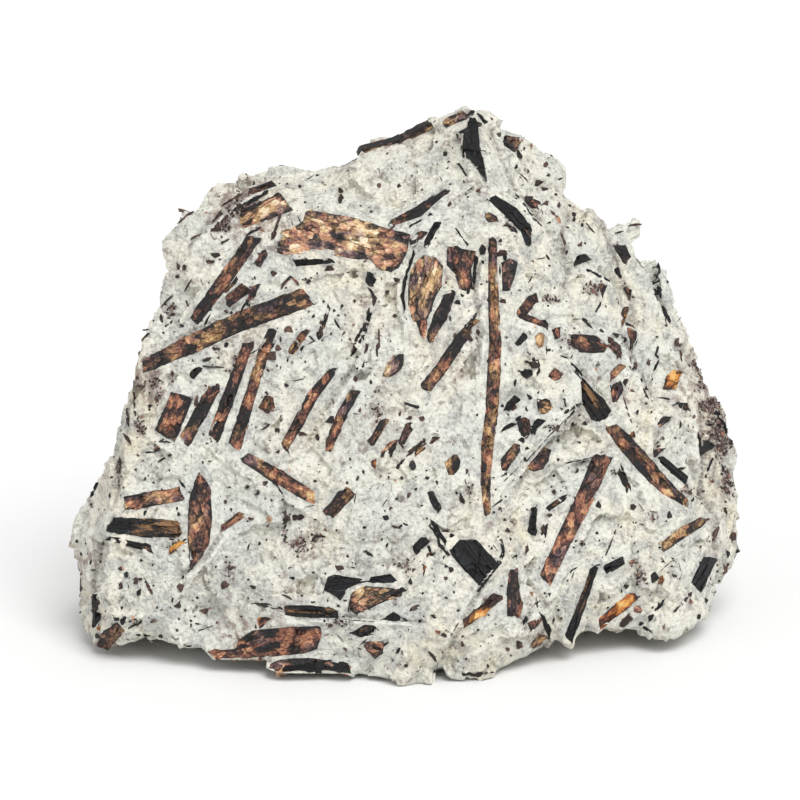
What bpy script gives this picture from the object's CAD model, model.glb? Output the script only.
# %% [markdown]
# # Astrophyllite specimen: the looks
#
# The real thing is a broken piece of off-white feldspar rock. Bronze blades of astrophyllite,
# black needles of aegirine and a few amber crystals grew in it before it was broken, so they
# lie in the broken faces like straws in dried clay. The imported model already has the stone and
# its larger crystals as plain solids at their real size. This script gives each of them its
# broken, flaky or sugary surface, and adds the thousands of small grains between them.

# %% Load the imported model
import math
import random

import bmesh
import bpy
import numpy as np
from mathutils import Matrix, Vector, noise
from mathutils.bvhtree import BVHTree
from mathutils.geometry import delaunay_2d_cdt


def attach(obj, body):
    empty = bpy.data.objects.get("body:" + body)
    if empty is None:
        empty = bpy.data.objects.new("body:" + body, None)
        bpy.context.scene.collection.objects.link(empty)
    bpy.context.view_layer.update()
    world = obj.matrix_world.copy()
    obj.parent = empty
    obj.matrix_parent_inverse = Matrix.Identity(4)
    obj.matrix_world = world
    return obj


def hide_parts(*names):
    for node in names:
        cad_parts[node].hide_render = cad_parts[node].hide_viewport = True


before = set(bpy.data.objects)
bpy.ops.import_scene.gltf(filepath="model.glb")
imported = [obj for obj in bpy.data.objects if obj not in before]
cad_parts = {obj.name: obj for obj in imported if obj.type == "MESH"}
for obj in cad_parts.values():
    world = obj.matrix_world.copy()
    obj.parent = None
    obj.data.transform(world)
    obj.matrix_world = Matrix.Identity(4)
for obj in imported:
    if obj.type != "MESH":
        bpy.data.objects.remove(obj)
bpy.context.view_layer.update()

MM = 0.001
print("nodes in the model:", len(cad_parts))

# %% [markdown]
# ## Where the eye is
#
# Places on the front are given as the eye sees them: u to the right and v up, in millimetres,
# on an upright plane through the foot of the stone. The same eye is the camera, so a grain at
# (u, v) shows up just there. A long lens far away keeps the stone's sides nearly parallel, as
# product photos of minerals do.

# %% The eye and the camera
VIEW_ELEVATION = math.radians(16.0)
VIEW_DISTANCE = 800.0
VIEW_CENTRE = (-0.5, 29.25)
VIEW_WIDTH = 100.0
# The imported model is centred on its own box; this is that box's middle as the eye measures it.
BOX_MIDDLE = Vector((0.585, 3.773, 0.0))
RIGHT = Vector((1.0, 0.0, 0.0))
UP = Vector((0.0, math.sin(VIEW_ELEVATION), math.cos(VIEW_ELEVATION)))
TOWARD = Vector((0.0, -math.cos(VIEW_ELEVATION), math.sin(VIEW_ELEVATION)))
EYE = RIGHT * VIEW_CENTRE[0] + UP * VIEW_CENTRE[1] + TOWARD * VIEW_DISTANCE - BOX_MIDDLE


def sight(u, v):
    """The direction from the eye through (u, v), in the model's own frame."""
    return (RIGHT * u + UP * v - BOX_MIDDLE - EYE).normalized()


def seen_at(places):
    """Where the eye sees each of many places: rows of (u, v)."""
    rays = np.asarray(places) - np.array(EYE)
    reach = VIEW_DISTANCE / -(rays @ np.array(TOWARD))
    return (rays * reach[:, None] + np.array(EYE + BOX_MIDDLE)) @ np.array([RIGHT, UP]).T


def into_scene(name, data):
    """A new object with this data, linked into the scene."""
    made = bpy.data.objects.new(name, data)
    bpy.context.scene.collection.objects.link(made)
    return made


lens = bpy.data.cameras.new("camera")
lens.sensor_width = 36.0
lens.lens = lens.sensor_width * VIEW_DISTANCE / VIEW_WIDTH
lens.clip_end = 10.0
camera = into_scene("camera", lens)
turn = TOWARD.to_track_quat("Z", "Y").to_matrix().to_4x4()
camera.matrix_world = Matrix.Translation(EYE * MM) @ turn
bpy.context.scene.camera = camera
print("lens", round(lens.lens), "mm")

# %% [markdown]
# ## Light
#
# The photo is high-key: a white sweep, big soft lights above and in front, and only a thin
# shadow under the stone. A white world does half of it. A very wide light from above, a little
# to the right and in front, shows the slopes, and a weak one from the left opens the shadows.
# Both are of the kind that doesn't fall off with distance, so the paper stays evenly white.

# %% World, lights and floor
WORLD_STRENGTH = 0.64
FLOOR_SIZE = 6.0
# Each light: the way it comes from, how wide it is in degrees, and its strength.
LIGHTS = {
    "key_light": ((0.24, -0.50, 0.83), 40.0, 2.3),
    "fill_light": ((-0.80, -0.60, 0.30), 60.0, 0.16),
}
bpy.context.scene.view_settings.view_transform = "Standard"

world = bpy.data.worlds.new("studio")
world.use_nodes = True
world.node_tree.nodes["Background"].inputs["Color"].default_value = (1.0, 1.0, 1.0, 1.0)
world.node_tree.nodes["Background"].inputs["Strength"].default_value = WORLD_STRENGTH
bpy.context.scene.world = world
for name, (way, spread, strength) in LIGHTS.items():
    lamp = bpy.data.lights.new(name, "SUN")
    lamp.angle = math.radians(spread)
    lamp.energy = strength
    light = into_scene(name, lamp)
    light.location = Vector(way) / 2
    light.rotation_euler = Vector(way).to_track_quat("Z", "Y").to_euler()

bpy.ops.mesh.primitive_plane_add(size=FLOOR_SIZE)
floor = bpy.context.object
floor.name = "floor"
print("lights:", ", ".join(LIGHTS))

# %% [markdown]
# ## A few words for building materials
#
# Node trees get long when every socket is wired by hand. Five helpers keep them readable: they
# make a node and fill or wire its inputs, a colour ramp from a list of stops, a mix of two
# colours, one step of arithmetic, and a material with a Principled shader ready to be fed.

# %% Helpers for node trees
def node(tree, kind, inputs=None, **settings):
    """Adds a node; an input is a value, or a socket that is wired to it."""
    made = tree.nodes.new(kind)
    for key, value in settings.items():
        setattr(made, key, value)
    for key, value in (inputs or {}).items():
        if isinstance(value, bpy.types.NodeSocket):
            tree.links.new(value, made.inputs[key])
        else:
            made.inputs[key].default_value = value
    return made


def ramp(tree, factor, stops):
    """A colour ramp's output: stops are (position, (r, g, b)) or (position, grey)."""
    made = node(tree, "ShaderNodeValToRGB", {"Fac": factor})
    elements = made.color_ramp.elements
    while len(elements) < len(stops):
        elements.new(0.5)
    for element, (position, colour) in zip(elements, stops):
        element.position = position
        tone = colour if isinstance(colour, tuple) else (colour,) * 3
        element.color = (*tone, 1.0)
    return made.outputs["Color"]


def mixed(tree, factor, first, second, blend="MIX"):
    """Two colours mixed by a factor."""
    made = tree.nodes.new("ShaderNodeMix")
    made.data_type = "RGBA"
    made.blend_type = blend
    sockets = (made.inputs[0], made.inputs[6], made.inputs[7])
    for socket, value in zip(sockets, (factor, first, second)):
        if isinstance(value, bpy.types.NodeSocket):
            tree.links.new(value, socket)
        else:
            socket.default_value = value if isinstance(value, float) else (*value, 1.0)
    return made.outputs[2]


def maths(tree, operation, first, second=0.0):
    """One step of arithmetic on two values."""
    return node(tree, "ShaderNodeMath", {0: first, 1: second}, operation=operation).outputs[0]


def new_material(name, **constants):
    """A material with a Principled shader; the constants are set on its own sockets."""
    made = bpy.data.materials.new(name)
    made.use_nodes = True
    shader = made.node_tree.nodes["Principled BSDF"]
    for key, value in constants.items():
        shader.inputs[key.replace("_", " ")].default_value = value
    return made, made.node_tree, shader


floor_material, tree, shader = new_material("floor_paper", Roughness=0.9)
shader.inputs["Base Color"].default_value = (0.82, 0.82, 0.82, 1.0)
floor.data.materials.append(floor_material)
print("material of the floor:", floor_material.name)

# %% [markdown]
# ## Blotches and specks, shared by every mineral
#
# None of these minerals is one flat colour. Each has soft blotches of another tone, a finer
# mottling on top, and tiny specks. One node group makes all three from a place given in
# millimetres, and each material turns them into its own colours.

# %% The mottle group
def new_group(name, vector, sizes, results):
    """An empty node group with its sockets, what comes into it and what it puts out."""
    group = bpy.data.node_groups.new(name, "ShaderNodeTree")
    face = group.interface
    face.new_socket(vector, in_out="INPUT", socket_type="NodeSocketVector")
    for label, size in sizes:
        face.new_socket(label, in_out="INPUT", socket_type="NodeSocketFloat").default_value = size
    for label in results:
        face.new_socket(label, in_out="OUTPUT", socket_type="NodeSocketFloat")
    print("the", name, "group puts out", ", ".join(results))
    return group, group.nodes.new("NodeGroupInput").outputs, group.nodes.new("NodeGroupOutput").inputs


def mottle_group():
    group, given, made = new_group(
        "mottle", "Place", (("Blotch size", 6.0), ("Grain size", 0.6), ("Speck spacing", 1.0)),
        ("Blotches", "Grains", "Specks"))
    for size, detail, rough, target in (
            ("Blotch size", 3.0, 0.6, "Blotches"), ("Grain size", 4.0, 0.62, "Grains")):
        scale = maths(group, "DIVIDE", 1.0, given[size])
        cloud = node(group, "ShaderNodeTexNoise", {
            "Vector": given["Place"], "Scale": scale, "Detail": detail, "Roughness": rough})
        group.links.new(cloud.outputs["Fac"], made[target])
    scale = maths(group, "DIVIDE", 1.0, given["Speck spacing"])
    # The specks' places are shaken by a noise, so that they aren't round.
    shake = node(group, "ShaderNodeTexNoise", {
        "Vector": given["Place"], "Scale": maths(group, "MULTIPLY", scale, 2.6), "Detail": 1.0})
    strength = node(group, "ShaderNodeVectorMath", {
        0: given["Speck spacing"], 1: (0.9, 0.9, 0.9)}, operation="MULTIPLY")
    loose = node(group, "ShaderNodeVectorMath", {
        0: shake.outputs["Color"], 1: strength.outputs[0], 2: given["Place"]}, operation="MULTIPLY_ADD")
    cells = node(group, "ShaderNodeTexVoronoi", {
        "Vector": loose.outputs[0], "Scale": scale, "Randomness": 1.0})
    # Each cell draws a number, and only those that draw a high one hold a speck.
    lottery = node(group, "ShaderNodeSeparateColor", {0: cells.outputs["Color"]})
    reach = node(group, "ShaderNodeMapRange", {
        0: lottery.outputs[0], 1: 0.55, 2: 1.0, 3: 0.0, 4: 0.22})
    inside = maths(group, "SUBTRACT", reach.outputs[0], cells.outputs["Distance"])
    speck = node(group, "ShaderNodeMapRange", {0: inside, 1: 0.0, 2: 0.07, 3: 0.0, 4: 1.0})
    group.links.new(speck.outputs[0], made["Specks"])
    return group


MOTTLE = mottle_group()


def mottle(tree, place, blotch, grain, speck):
    """The mottle group placed in a material with its own sizes, in millimetres."""
    return node(tree, "ShaderNodeGroup", {
        "Place": place, "Blotch size": blotch, "Grain size": grain, "Speck spacing": speck},
        node_tree=MOTTLE).outputs


# %% [markdown]
# ## Cleavage lines, shared by the bladed crystals
#
# Astrophyllite and aegirine split along their length. Their faces carry fine lines that run
# with the blade, crossed here and there by a crack. The crystals built below hold a vector
# attribute, `lie`: how far along, across and above the crystal each point is, in millimetres.
# Stretching a noise along the first of them draws lines that follow every blade, whichever
# way it points, and no texture coordinates have to be unwrapped.

# %% The cleavage group
def cleavage_group():
    group, given, made = new_group(
        "cleavage", "Lie",
        (("Line width", 0.15), ("Stretch", 12.0), ("Patch size", 0.4), ("Crack spacing", 3.0)),
        ("Lines", "Patches", "Zones", "Hues", "Cracks", "Flecks"))

    def pressed(along):
        """The place on the crystal with its length pressed together, which stretches a pattern."""
        squeeze = node(group, "ShaderNodeCombineXYZ", {"X": along, "Y": 1.0, "Z": 1.0})
        return node(group, "ShaderNodeVectorMath", {
            0: given["Lie"], 1: squeeze.outputs[0]}, operation="MULTIPLY").outputs[0]

    def cloud(place, scale, detail, rough, bend=0.0):
        """A noise over the crystal."""
        return node(group, "ShaderNodeTexNoise", {
            "Vector": place, "Scale": scale, "Detail": detail, "Roughness": rough, "Distortion": bend})

    lines = cloud(pressed(maths(group, "DIVIDE", 1.0, given["Stretch"])),
                  maths(group, "DIVIDE", 1.0, given["Line width"]), 2.0, 0.5)
    group.links.new(lines.outputs["Fac"], made["Lines"])
    fine = maths(group, "DIVIDE", 1.0, given["Patch size"])
    patches = cloud(pressed(0.72), fine, 4.0, 0.72, 0.3)
    group.links.new(patches.outputs["Fac"], made["Patches"])
    zones = cloud(pressed(0.45), 0.55, 2.0, 0.5)
    group.links.new(zones.outputs["Fac"], made["Zones"])
    hues = cloud(pressed(0.6), 0.9, 4.0, 0.65, 0.4)
    group.links.new(hues.outputs["Fac"], made["Hues"])
    bent = node(group, "ShaderNodeVectorMath", {
        0: pressed(0.7), 1: hues.outputs["Color"]}, operation="ADD").outputs[0]
    cells = node(group, "ShaderNodeTexVoronoi", {
        "Vector": bent, "Scale": maths(group, "DIVIDE", 1.0, given["Crack spacing"])},
        feature="DISTANCE_TO_EDGE")
    cracks = node(group, "ShaderNodeMapRange", {
        0: cells.outputs["Distance"], 1: 0.0, 2: 0.022, 3: 1.0, 4: 0.0})
    some = node(group, "ShaderNodeMapRange", {0: patches.outputs["Fac"], 1: 0.42, 2: 0.5, 3: 0.1, 4: 1.0})
    group.links.new(maths(group, "MULTIPLY", cracks.outputs[0], some.outputs[0]), made["Cracks"])
    flakes = node(group, "ShaderNodeTexVoronoi", {"Vector": pressed(0.6), "Scale": 4.2})
    draw = node(group, "ShaderNodeSeparateColor", {0: flakes.outputs["Color"]})
    bright = node(group, "ShaderNodeMapRange", {0: draw.outputs[0], 1: 0.86, 2: 0.97, 3: 0.0, 4: 1.0})
    group.links.new(bright.outputs[0], made["Flecks"])
    return group


CLEAVAGE = cleavage_group()


def cleavage(tree, lie, line_width, stretch, patch_size, crack_spacing):
    """The cleavage group placed in a material with its own sizes, in millimetres."""
    return node(tree, "ShaderNodeGroup", {
        "Lie": lie, "Line width": line_width, "Stretch": stretch, "Patch size": patch_size,
        "Crack spacing": crack_spacing}, node_tree=CLEAVAGE).outputs


def attribute(tree, name, output):
    """A value that the mesh itself carries, such as lie or shade."""
    return node(tree, "ShaderNodeAttribute", attribute_name=name).outputs[output]


# %% [markdown]
# ## The feldspar
#
# The rock is a mass of small feldspar crystals, sugary where it is fresh and creamy where it
# is weathered. Three tones do it: cream-white, a cool grey where the grains are clear enough to
# look into, and a warm brown stain. The mesh says where: halo is the clear rock next to the
# crystals, stain the weathered places, smudge the crowds of crumbs, and edge the fresh pale
# brink of a ledge or, below nought, the dirt at its foot. The grain bump is a fifth of a
# millimetre; all larger relief is real.

# %% The feldspar material
def feldspar_material():
    made, tree, shader = new_material("feldspar", Roughness=0.55)
    place = node(tree, "ShaderNodeTexCoord").outputs["Object"]
    in_mm = node(tree, "ShaderNodeVectorMath", {
        0: place, 1: (1000.0, 1000.0, 1000.0)}, operation="MULTIPLY").outputs[0]
    broad = mottle(tree, in_mm, 8.0, 1.0, 3.6)
    fine = mottle(tree, in_mm, 2.0, 0.42, 2.3)
    white = ramp(tree, broad["Blotches"], [
        (0.34, (0.66, 0.67, 0.61)), (0.45, (0.74, 0.73, 0.65)), (0.58, (0.76, 0.73, 0.62)),
        (0.72, (0.72, 0.65, 0.49))])
    halo = attribute(tree, "halo", "Fac")
    cloudy = maths(tree, "ADD", fine["Blotches"], maths(tree, "MULTIPLY", halo, 0.09))
    clear = ramp(tree, cloudy, [(0.47, 0.0), (0.66, 0.8)])
    body = mixed(tree, clear, white, (0.47, 0.48, 0.46))
    sugar = ramp(tree, fine["Grains"], [
        (0.34, (0.50, 0.50, 0.51)), (0.44, (0.80, 0.80, 0.80)), (0.54, (0.97, 0.97, 0.96)), (0.63, 1.06)])
    where = ramp(tree, cloudy, [(0.38, 0.45), (0.58, 1.0)])
    body = mixed(tree, where, body, mixed(tree, 1.0, body, sugar, "MULTIPLY"))
    stain = attribute(tree, "stain", "Fac")
    warm = maths(tree, "MULTIPLY", stain, ramp(tree, broad["Grains"], [(0.35, 0.0), (0.65, 0.55)]))
    body = mixed(tree, warm, body, (0.52, 0.42, 0.29))
    brown = maths(tree, "ADD", maths(tree, "MULTIPLY", stain, 0.16), broad["Grains"])
    dirt = ramp(tree, brown, [(0.60, 0.0), (0.68, 0.45), (0.78, 0.8)])
    body = mixed(tree, dirt, body, (0.20, 0.135, 0.115))
    smudge = attribute(tree, "smudge", "Fac")
    broken = ramp(tree, fine["Grains"], [(0.44, 1.0), (0.62, 0.25)])
    smudge = maths(tree, "MULTIPLY", smudge, broken)
    body = mixed(tree, smudge, body, (0.11, 0.070, 0.066))
    broken = ramp(tree, fine["Grains"], [(0.44, 1.0), (0.58, 0.3)])
    speck = maths(tree, "MULTIPLY", broad["Specks"], broken)
    body = mixed(tree, speck, body, (0.11, 0.066, 0.055))
    body = mixed(tree, fine["Specks"], body, (0.24, 0.215, 0.20))
    edge = attribute(tree, "edge", "Fac")
    body = mixed(tree, ramp(tree, edge, [(0.2, 0.0), (1.0, 0.8)]), body, (0.79, 0.79, 0.73))
    under = ramp(tree, maths(tree, "MULTIPLY", edge, -1.0), [(0.12, 0.0), (0.8, 0.9)])
    under = maths(tree, "MULTIPLY", under, ramp(tree, fine["Grains"], [(0.38, 1.0), (0.62, 0.35)]))
    body = mixed(tree, under, body, (0.17, 0.145, 0.130))
    tree.links.new(body, shader.inputs["Base Color"])
    relief = maths(tree, "ADD", fine["Grains"], maths(tree, "MULTIPLY", broad["Grains"], 2.0))
    bump = node(tree, "ShaderNodeBump", {"Height": relief, "Strength": 1.0, "Distance": 0.00020})
    tree.links.new(bump.outputs[0], shader.inputs["Normal"])
    return made


FELDSPAR = feldspar_material()
print("nodes in the feldspar:", len(FELDSPAR.node_tree.nodes))

# %% [markdown]
# ## The crystals' materials
#
# All the bladed minerals share one recipe with their own tones: dark and light follow the
# flakes (the `shade` attribute), then patches, then the fine lines. Two sets of tones, one more
# red and one more golden, mix by the `hue` attribute, and a third makes plum-brown zones.
# Cracks are nearly black. Where the tone is light the surface is a clean cleavage face, so it
# is smoother and a little metallic, as mica is. The small brown grains are duller.

# %% A material for each mineral
def weighed(tree, parts, middle):
    """A sum of values about one half, each times its weight, about a middle."""
    total = middle
    for value, weight in parts:
        about = maths(tree, "MULTIPLY", maths(tree, "SUBTRACT", value, 0.5), weight)
        total = maths(tree, "ADD", about, total)
    return total


def blade_material(name, first, second, sizes, weights, gloss, metal, crack, third=None, **constants):
    """A flaky mineral; its sets of tones run from dark to light and mix in patches.

    sizes: line width, stretch, patch size and crack spacing, in millimetres;
    weights: how much lines, patches, zones and flakes say; gloss: roughness when dark and light.
    """
    made, tree, shader = new_material(name, **constants)
    found = cleavage(tree, attribute(tree, "lie", "Vector"), *sizes)
    shade = attribute(tree, "shade", "Fac")
    line, patch, zone, flake = weights
    tone = weighed(tree, ((found["Lines"], line), (found["Patches"], patch), (found["Zones"], zone),
                          (shade, flake)), 0.45)
    hue = maths(tree, "ADD", found["Hues"], maths(tree, "MULTIPLY", attribute(tree, "hue", "Fac"), 0.25))
    mix = ramp(tree, hue, [(0.44, 0.0), (0.56, 1.0)])
    colour = mixed(tree, mix, ramp(tree, tone, first), ramp(tree, tone, second))
    if third:
        colour = mixed(tree, ramp(tree, found["Zones"], [(0.36, 0.9), (0.46, 0.0)]), colour,
                       ramp(tree, tone, third))
    flecks = maths(tree, "MULTIPLY", found["Flecks"], maths(tree, "MULTIPLY", tone, 0.5))
    colour = mixed(tree, flecks, colour, first[-1][1])
    colour = mixed(tree, maths(tree, "MULTIPLY", found["Cracks"], crack), colour, (0.006, 0.005, 0.005))
    tree.links.new(colour, shader.inputs["Base Color"])
    rough = node(tree, "ShaderNodeMapRange", {0: tone, 1: 0.3, 2: 0.8, 3: gloss[0], 4: gloss[1]})
    tree.links.new(rough.outputs[0], shader.inputs["Roughness"])
    sheen = node(tree, "ShaderNodeMapRange", {0: tone, 1: 0.5, 2: 0.9, 3: 0.0, 4: metal})
    tree.links.new(sheen.outputs[0], shader.inputs["Metallic"])
    height = weighed(tree, ((found["Lines"], 0.6), (found["Patches"], 2.2), (found["Flecks"], 0.3),
                            (found["Cracks"], -1.5)), 0.5)
    bump = node(tree, "ShaderNodeBump", {"Height": height, "Strength": 1.0, "Distance": 0.00012})
    tree.links.new(bump.outputs[0], shader.inputs["Normal"])
    return made


MINERALS = {
    "astrophyllite": blade_material(
        "astrophyllite",
        [(.18, (.006,.004,.005)), (.32, (.04,.016,.014)), (.45, (.125,.046,.032)), (.6, (.27,.105,.062)),
         (.78, (.48,.205,.11)), (1, (.8,.46,.25))],
        [(.18, (.006,.005,.004)), (.32, (.037,.021,.012)), (.45, (.118,.063,.03)), (.6, (.255,.14,.063)),
         (.78, (.47,.275,.12)), (1, (.81,.57,.3))],
        (0.12, 4.0, 0.32, 6.0), (0.35, 1.6, 1.0, 0.55), (0.55, 0.32), 0.20, 0.7,
        third=[(.18, (.006,.005,.007)), (.38, (.04,.024,.03)), (.6, (.14,.08,.086)), (.8, (.29,.18,.175)),
               (1, (.56,.42,.38))]),
    "golden_astrophyllite": blade_material(
        "golden_astrophyllite",
        [(.12, (.008,.005,.006)), (.26, (.055,.024,.022)), (.4, (.165,.07,.05)), (.55, (.34,.15,.092)),
         (.72, (.56,.27,.155)), (.88, (.74,.44,.27)), (1, (.88,.7,.5))],
        [(.12, (.01,.008,.006)), (.26, (.058,.034,.02)), (.4, (.175,.102,.054)), (.55, (.35,.212,.105)),
         (.72, (.59,.38,.185)), (.88, (.76,.55,.29)), (1, (.9,.78,.55))],
        (0.16, 2.0, 0.45, 4.5), (0.40, 1.6, 0.9, 0.60), (0.48, 0.28), 0.25, 0.9,
        third=[(.15, (.008,.006,.008)), (.38, (.085,.046,.052)), (.58, (.2,.116,.116)),
               (.8, (.37,.235,.21)), (1, (.62,.48,.43))]),
    "aegirine": blade_material(
        "aegirine",
        [(.25, (.002,.002,.0025)), (.58, (.006,.007,.009)), (.78, (.016,.019,.024)),
         (.95, (.09,.098,.105))],
        [(.25, (.002,.002,.002)), (.56, (.008,.007,.006)), (.74, (.05,.026,.015)), (.95, (.26,.14,.06))],
        (0.11, 16.0, 0.35, 3.0), (0.8, 1.2, 0.5, 0.40), (0.42, 0.26), 0.0, 0.8,
        Specular_IOR_Level=0.35),
    "amber": blade_material(
        "amber",
        [(.22, (.02,.008,.006)), (.38, (.14,.036,.012)), (.54, (.42,.12,.022)), (.72, (.66,.25,.045)),
         (.92, (.85,.5,.16))],
        [(.22, (.03,.01,.006)), (.38, (.18,.06,.014)), (.54, (.46,.18,.03)), (.72, (.7,.34,.07)),
         (.92, (.88,.62,.26))],
        (0.30, 4.0, 0.50, 4.0), (0.4, 1.2, 0.9, 0.40), (0.38, 0.22), 0.05, 0.6),
}
GRAIN_BRONZE = blade_material(
    "astrophyllite_grains",
    [(.2, (.012,.007,.008)), (.4, (.038,.02,.019)), (.6, (.095,.048,.04)), (.8, (.19,.095,.062)),
     (1, (.42,.22,.11))],
    [(.2, (.014,.008,.006)), (.4, (.05,.024,.017)), (.6, (.135,.06,.034)), (.8, (.29,.13,.058)),
     (1, (.5,.27,.115))],
    (0.12, 3.0, 0.22, 6.0), (0.3, 1.1, 0.6, 0.40), (0.6, 0.4), 0.1, 0.4)
print("minerals:", ", ".join(MINERALS))

# %% [markdown]
# ## Reading a crystal's form from the model
#
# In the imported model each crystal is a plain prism: an outline on the rock's face, drawn out
# into the rock. To dress it, the script needs that outline and that direction back. The edges
# that run into the rock are all the same vector, so the vector that comes most often among the
# edges is the way in, and the corners at its outer end are the outline.

# %% Outlines of the crystals
PROBE = 12.0
HEART = Vector((0.0, 2.0, 25.0))


def opened(mesh):
    """A mesh as a bmesh in millimetres."""
    shape = bmesh.new()
    shape.from_mesh(mesh)
    bmesh.ops.scale(shape, vec=(1 / MM,) * 3, verts=shape.verts)
    return shape


def ray_tree(mesh):
    """A mesh in millimetres, ready for lines of sight to meet it."""
    shape = opened(mesh)
    tree = BVHTree.FromBMesh(shape)
    shape.free()
    return tree


STONE = ray_tree(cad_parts["matrix"].data)


def leaves_stone(middle, way):
    """True if this way from a crystal's middle leads out of the stone, and the other way in."""
    out = STONE.ray_cast(middle, way, PROBE)[0]
    back = STONE.ray_cast(middle, -way, PROBE)[0]
    return out is None and back is not None


def outline_of(name):
    """A crystal's outer ring of corners, in order, and the vector from inside to outside."""
    shape = opened(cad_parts[name].data)
    bmesh.ops.remove_doubles(shape, verts=shape.verts, dist=0.001)
    middle = sum((vertex.co for vertex in shape.verts), Vector()) / len(shape.verts)
    counts = {}
    for edge in shape.edges:
        way = edge.verts[1].co - edge.verts[0].co
        for turned in (way, -way):
            key = tuple(round(value, 2) for value in turned)
            counts.setdefault(key, []).append(turned)
    ways = sorted(counts.values(), key=len, reverse=True)
    likely = [found for found in ways if len(found) >= len(ways[0]) - 1]
    rises = [sum(found, Vector()) / len(found) for found in likely]
    rise = next((way for way in rises if leaves_stone(middle, way.normalized())), None)
    if rise is None:
        outwards = middle - HEART
        rise = max(rises, key=lambda way: way.normalized().dot(outwards))
    upper = {vertex for vertex in shape.verts if any(
        (vertex.co - rise - other.co).length < 0.03 for other in shape.verts)}
    after = {}
    for face in shape.faces:
        inside = [vertex in upper for vertex in face.verts]
        if all(inside) or not any(inside):
            continue
        for loop in face.loops:
            here, there = loop.vert, loop.link_loop_next.vert
            if here in upper and there in upper:
                after[there] = here
    start = next(iter(after))
    ring = [start]
    while after[ring[-1]] is not start:
        ring.append(after[ring[-1]])
    corners = [vertex.co.copy() for vertex in ring]
    shape.free()
    return corners, rise


forms = {name: outline_of(name) for name in sorted(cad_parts) if name != "matrix"}
print("crystals read:", len(forms), "corners:", sum(len(ring) for ring, _ in forms.values()))

# %% [markdown]
# ## A form to work on
#
# Every crystal, large or small, is dressed in the same way, so they all become the same kind of
# thing first: a ring of corners, and three directions of its own, along, across and out of the
# stone. The long axis comes from the spread of the corners. A blade that bends over an edge of
# the rock has a bent top, so its height is looked up from the triangles that fill the ring.

# %% The form of a crystal
class Form:
    """A crystal's outline with its own directions; places are in millimetres."""

    def __init__(self, ring, out):
        self.ring = ring
        self.middle = sum(ring, Vector()) / len(ring)
        out = out.normalized()
        spread = np.array([corner - self.middle for corner in ring])
        spread -= np.outer(spread @ np.array(out), out)
        along = Vector(np.linalg.svd(spread)[2][0])
        if along.x + along.z < 0:
            along.negate()
        self.axes = np.array([along, out.cross(along), out])
        self.flat = self.local(np.array(ring))
        places = [Vector(place[:2]) for place in self.flat]
        self.triangles = delaunay_2d_cdt(places, [], [list(range(len(ring)))], 1, 1e-5)[2]
        self.length, self.breadth = np.ptp(self.flat[:, 0]), np.ptp(self.flat[:, 1])

    def local(self, places):
        """Places of the model as (along, across, out)."""
        return (np.asarray(places) - np.array(self.middle)) @ self.axes.T

    def world(self, places):
        """Places given as (along, across, out), in the model."""
        return np.asarray(places) @ self.axes + np.array(self.middle)

    def heights(self, places):
        """The height of the top at each place, and whether the place is inside the outline."""
        places = np.asarray(places)[:, :2]
        best = np.full(len(places), -1e9)
        height = np.zeros(len(places))
        for triangle in self.triangles:
            a, b, c = (self.flat[i] for i in triangle)
            area = np.cross(b[:2] - a[:2], c[:2] - a[:2])
            first = np.cross(b[:2] - places, c[:2] - places) / area
            second = np.cross(c[:2] - places, a[:2] - places) / area
            third = 1.0 - first - second
            least = np.minimum(np.minimum(first, second), third)
            nearer = least > best
            best[nearer] = least[nearer]
            found = first * a[2] + second * b[2] + third * c[2]
            height[nearer] = found[nearer]
        return height, best >= 0.0


def shrunk(flat, by):
    """A flat ring moved inwards by this much on every side, or outwards if it's negative."""
    flat = np.asarray(flat)[:, :2]
    ahead = np.roll(flat, -1, axis=0) - flat
    ahead /= np.maximum(np.linalg.norm(ahead, axis=1), 1e-6)[:, None]
    sides = np.stack([-ahead[:, 1], ahead[:, 0]], axis=1)
    area = np.cross(flat, np.roll(flat, -1, axis=0)).sum()
    before = np.roll(sides, 1, axis=0)
    mitre = (sides + before) / np.maximum(1.0 + (sides * before).sum(axis=1), 0.35)[:, None]
    return flat + mitre * (by if area > 0 else -by)


def to_edge(ring, places):
    """The nearest place on a flat ring's edges to each flat place, and how far it is."""
    start = np.asarray(ring)[:, :2]
    way = np.roll(start, -1, axis=0) - start
    apart = places[:, None] - start
    share = np.clip((apart * way).sum(axis=2) / np.maximum((way ** 2).sum(axis=1), 1e-9), 0.0, 1.0)
    far = np.linalg.norm(apart - way * share[..., None], axis=2)
    rows, best = np.arange(len(places)), far.argmin(axis=1)
    return start[best] + way[best] * share[rows, best][:, None], far[rows, best]


crystals = {name: Form(ring, rise) for name, (ring, rise) in forms.items()}
depths = {name: rise.length for name, (ring, rise) in forms.items()}
print("longest crystal: %.1f mm" % max(form.length for form in crystals.values()))

# %% [markdown]
# ## The small crystals
#
# Fifty-seven crystals are too small to be parts of their own: they're one with the packed
# stone, 0.4 mm proud of it. A material alone could colour them, but not give them their leaves,
# so they get the same flakes as the large ones, laid just on their tops. A place on the front
# is given as the eye sees it, one on the back as (x, z), one on an end as (y, z), and one on top
# as (x, y). A line of sight, or a line square to that side, finds it on the stone.

# %% Outlines of the small crystals
def lath(path, start_skew=0.3, end_skew=-0.3):
    """The outline of a blade along a path of (u, v, width), its two ends cut at a slant."""
    places = [Vector(p[:2]) for p in path]
    left, right = [], []
    for i, (place, p) in enumerate(zip(places, path)):
        along = (places[min(i + 1, len(path) - 1)] - places[max(i - 1, 0)]).normalized()
        across = Vector((-along.y, along.x)) * (p[2] / 2)
        slant = along * ({0: start_skew}.get(i, 0.0) + {len(path) - 1: end_skew}.get(i, 0.0))
        left.append(place + across + slant)
        right.append(place - across - slant)
    return [tuple(p) for p in left + right[::-1]]


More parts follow.
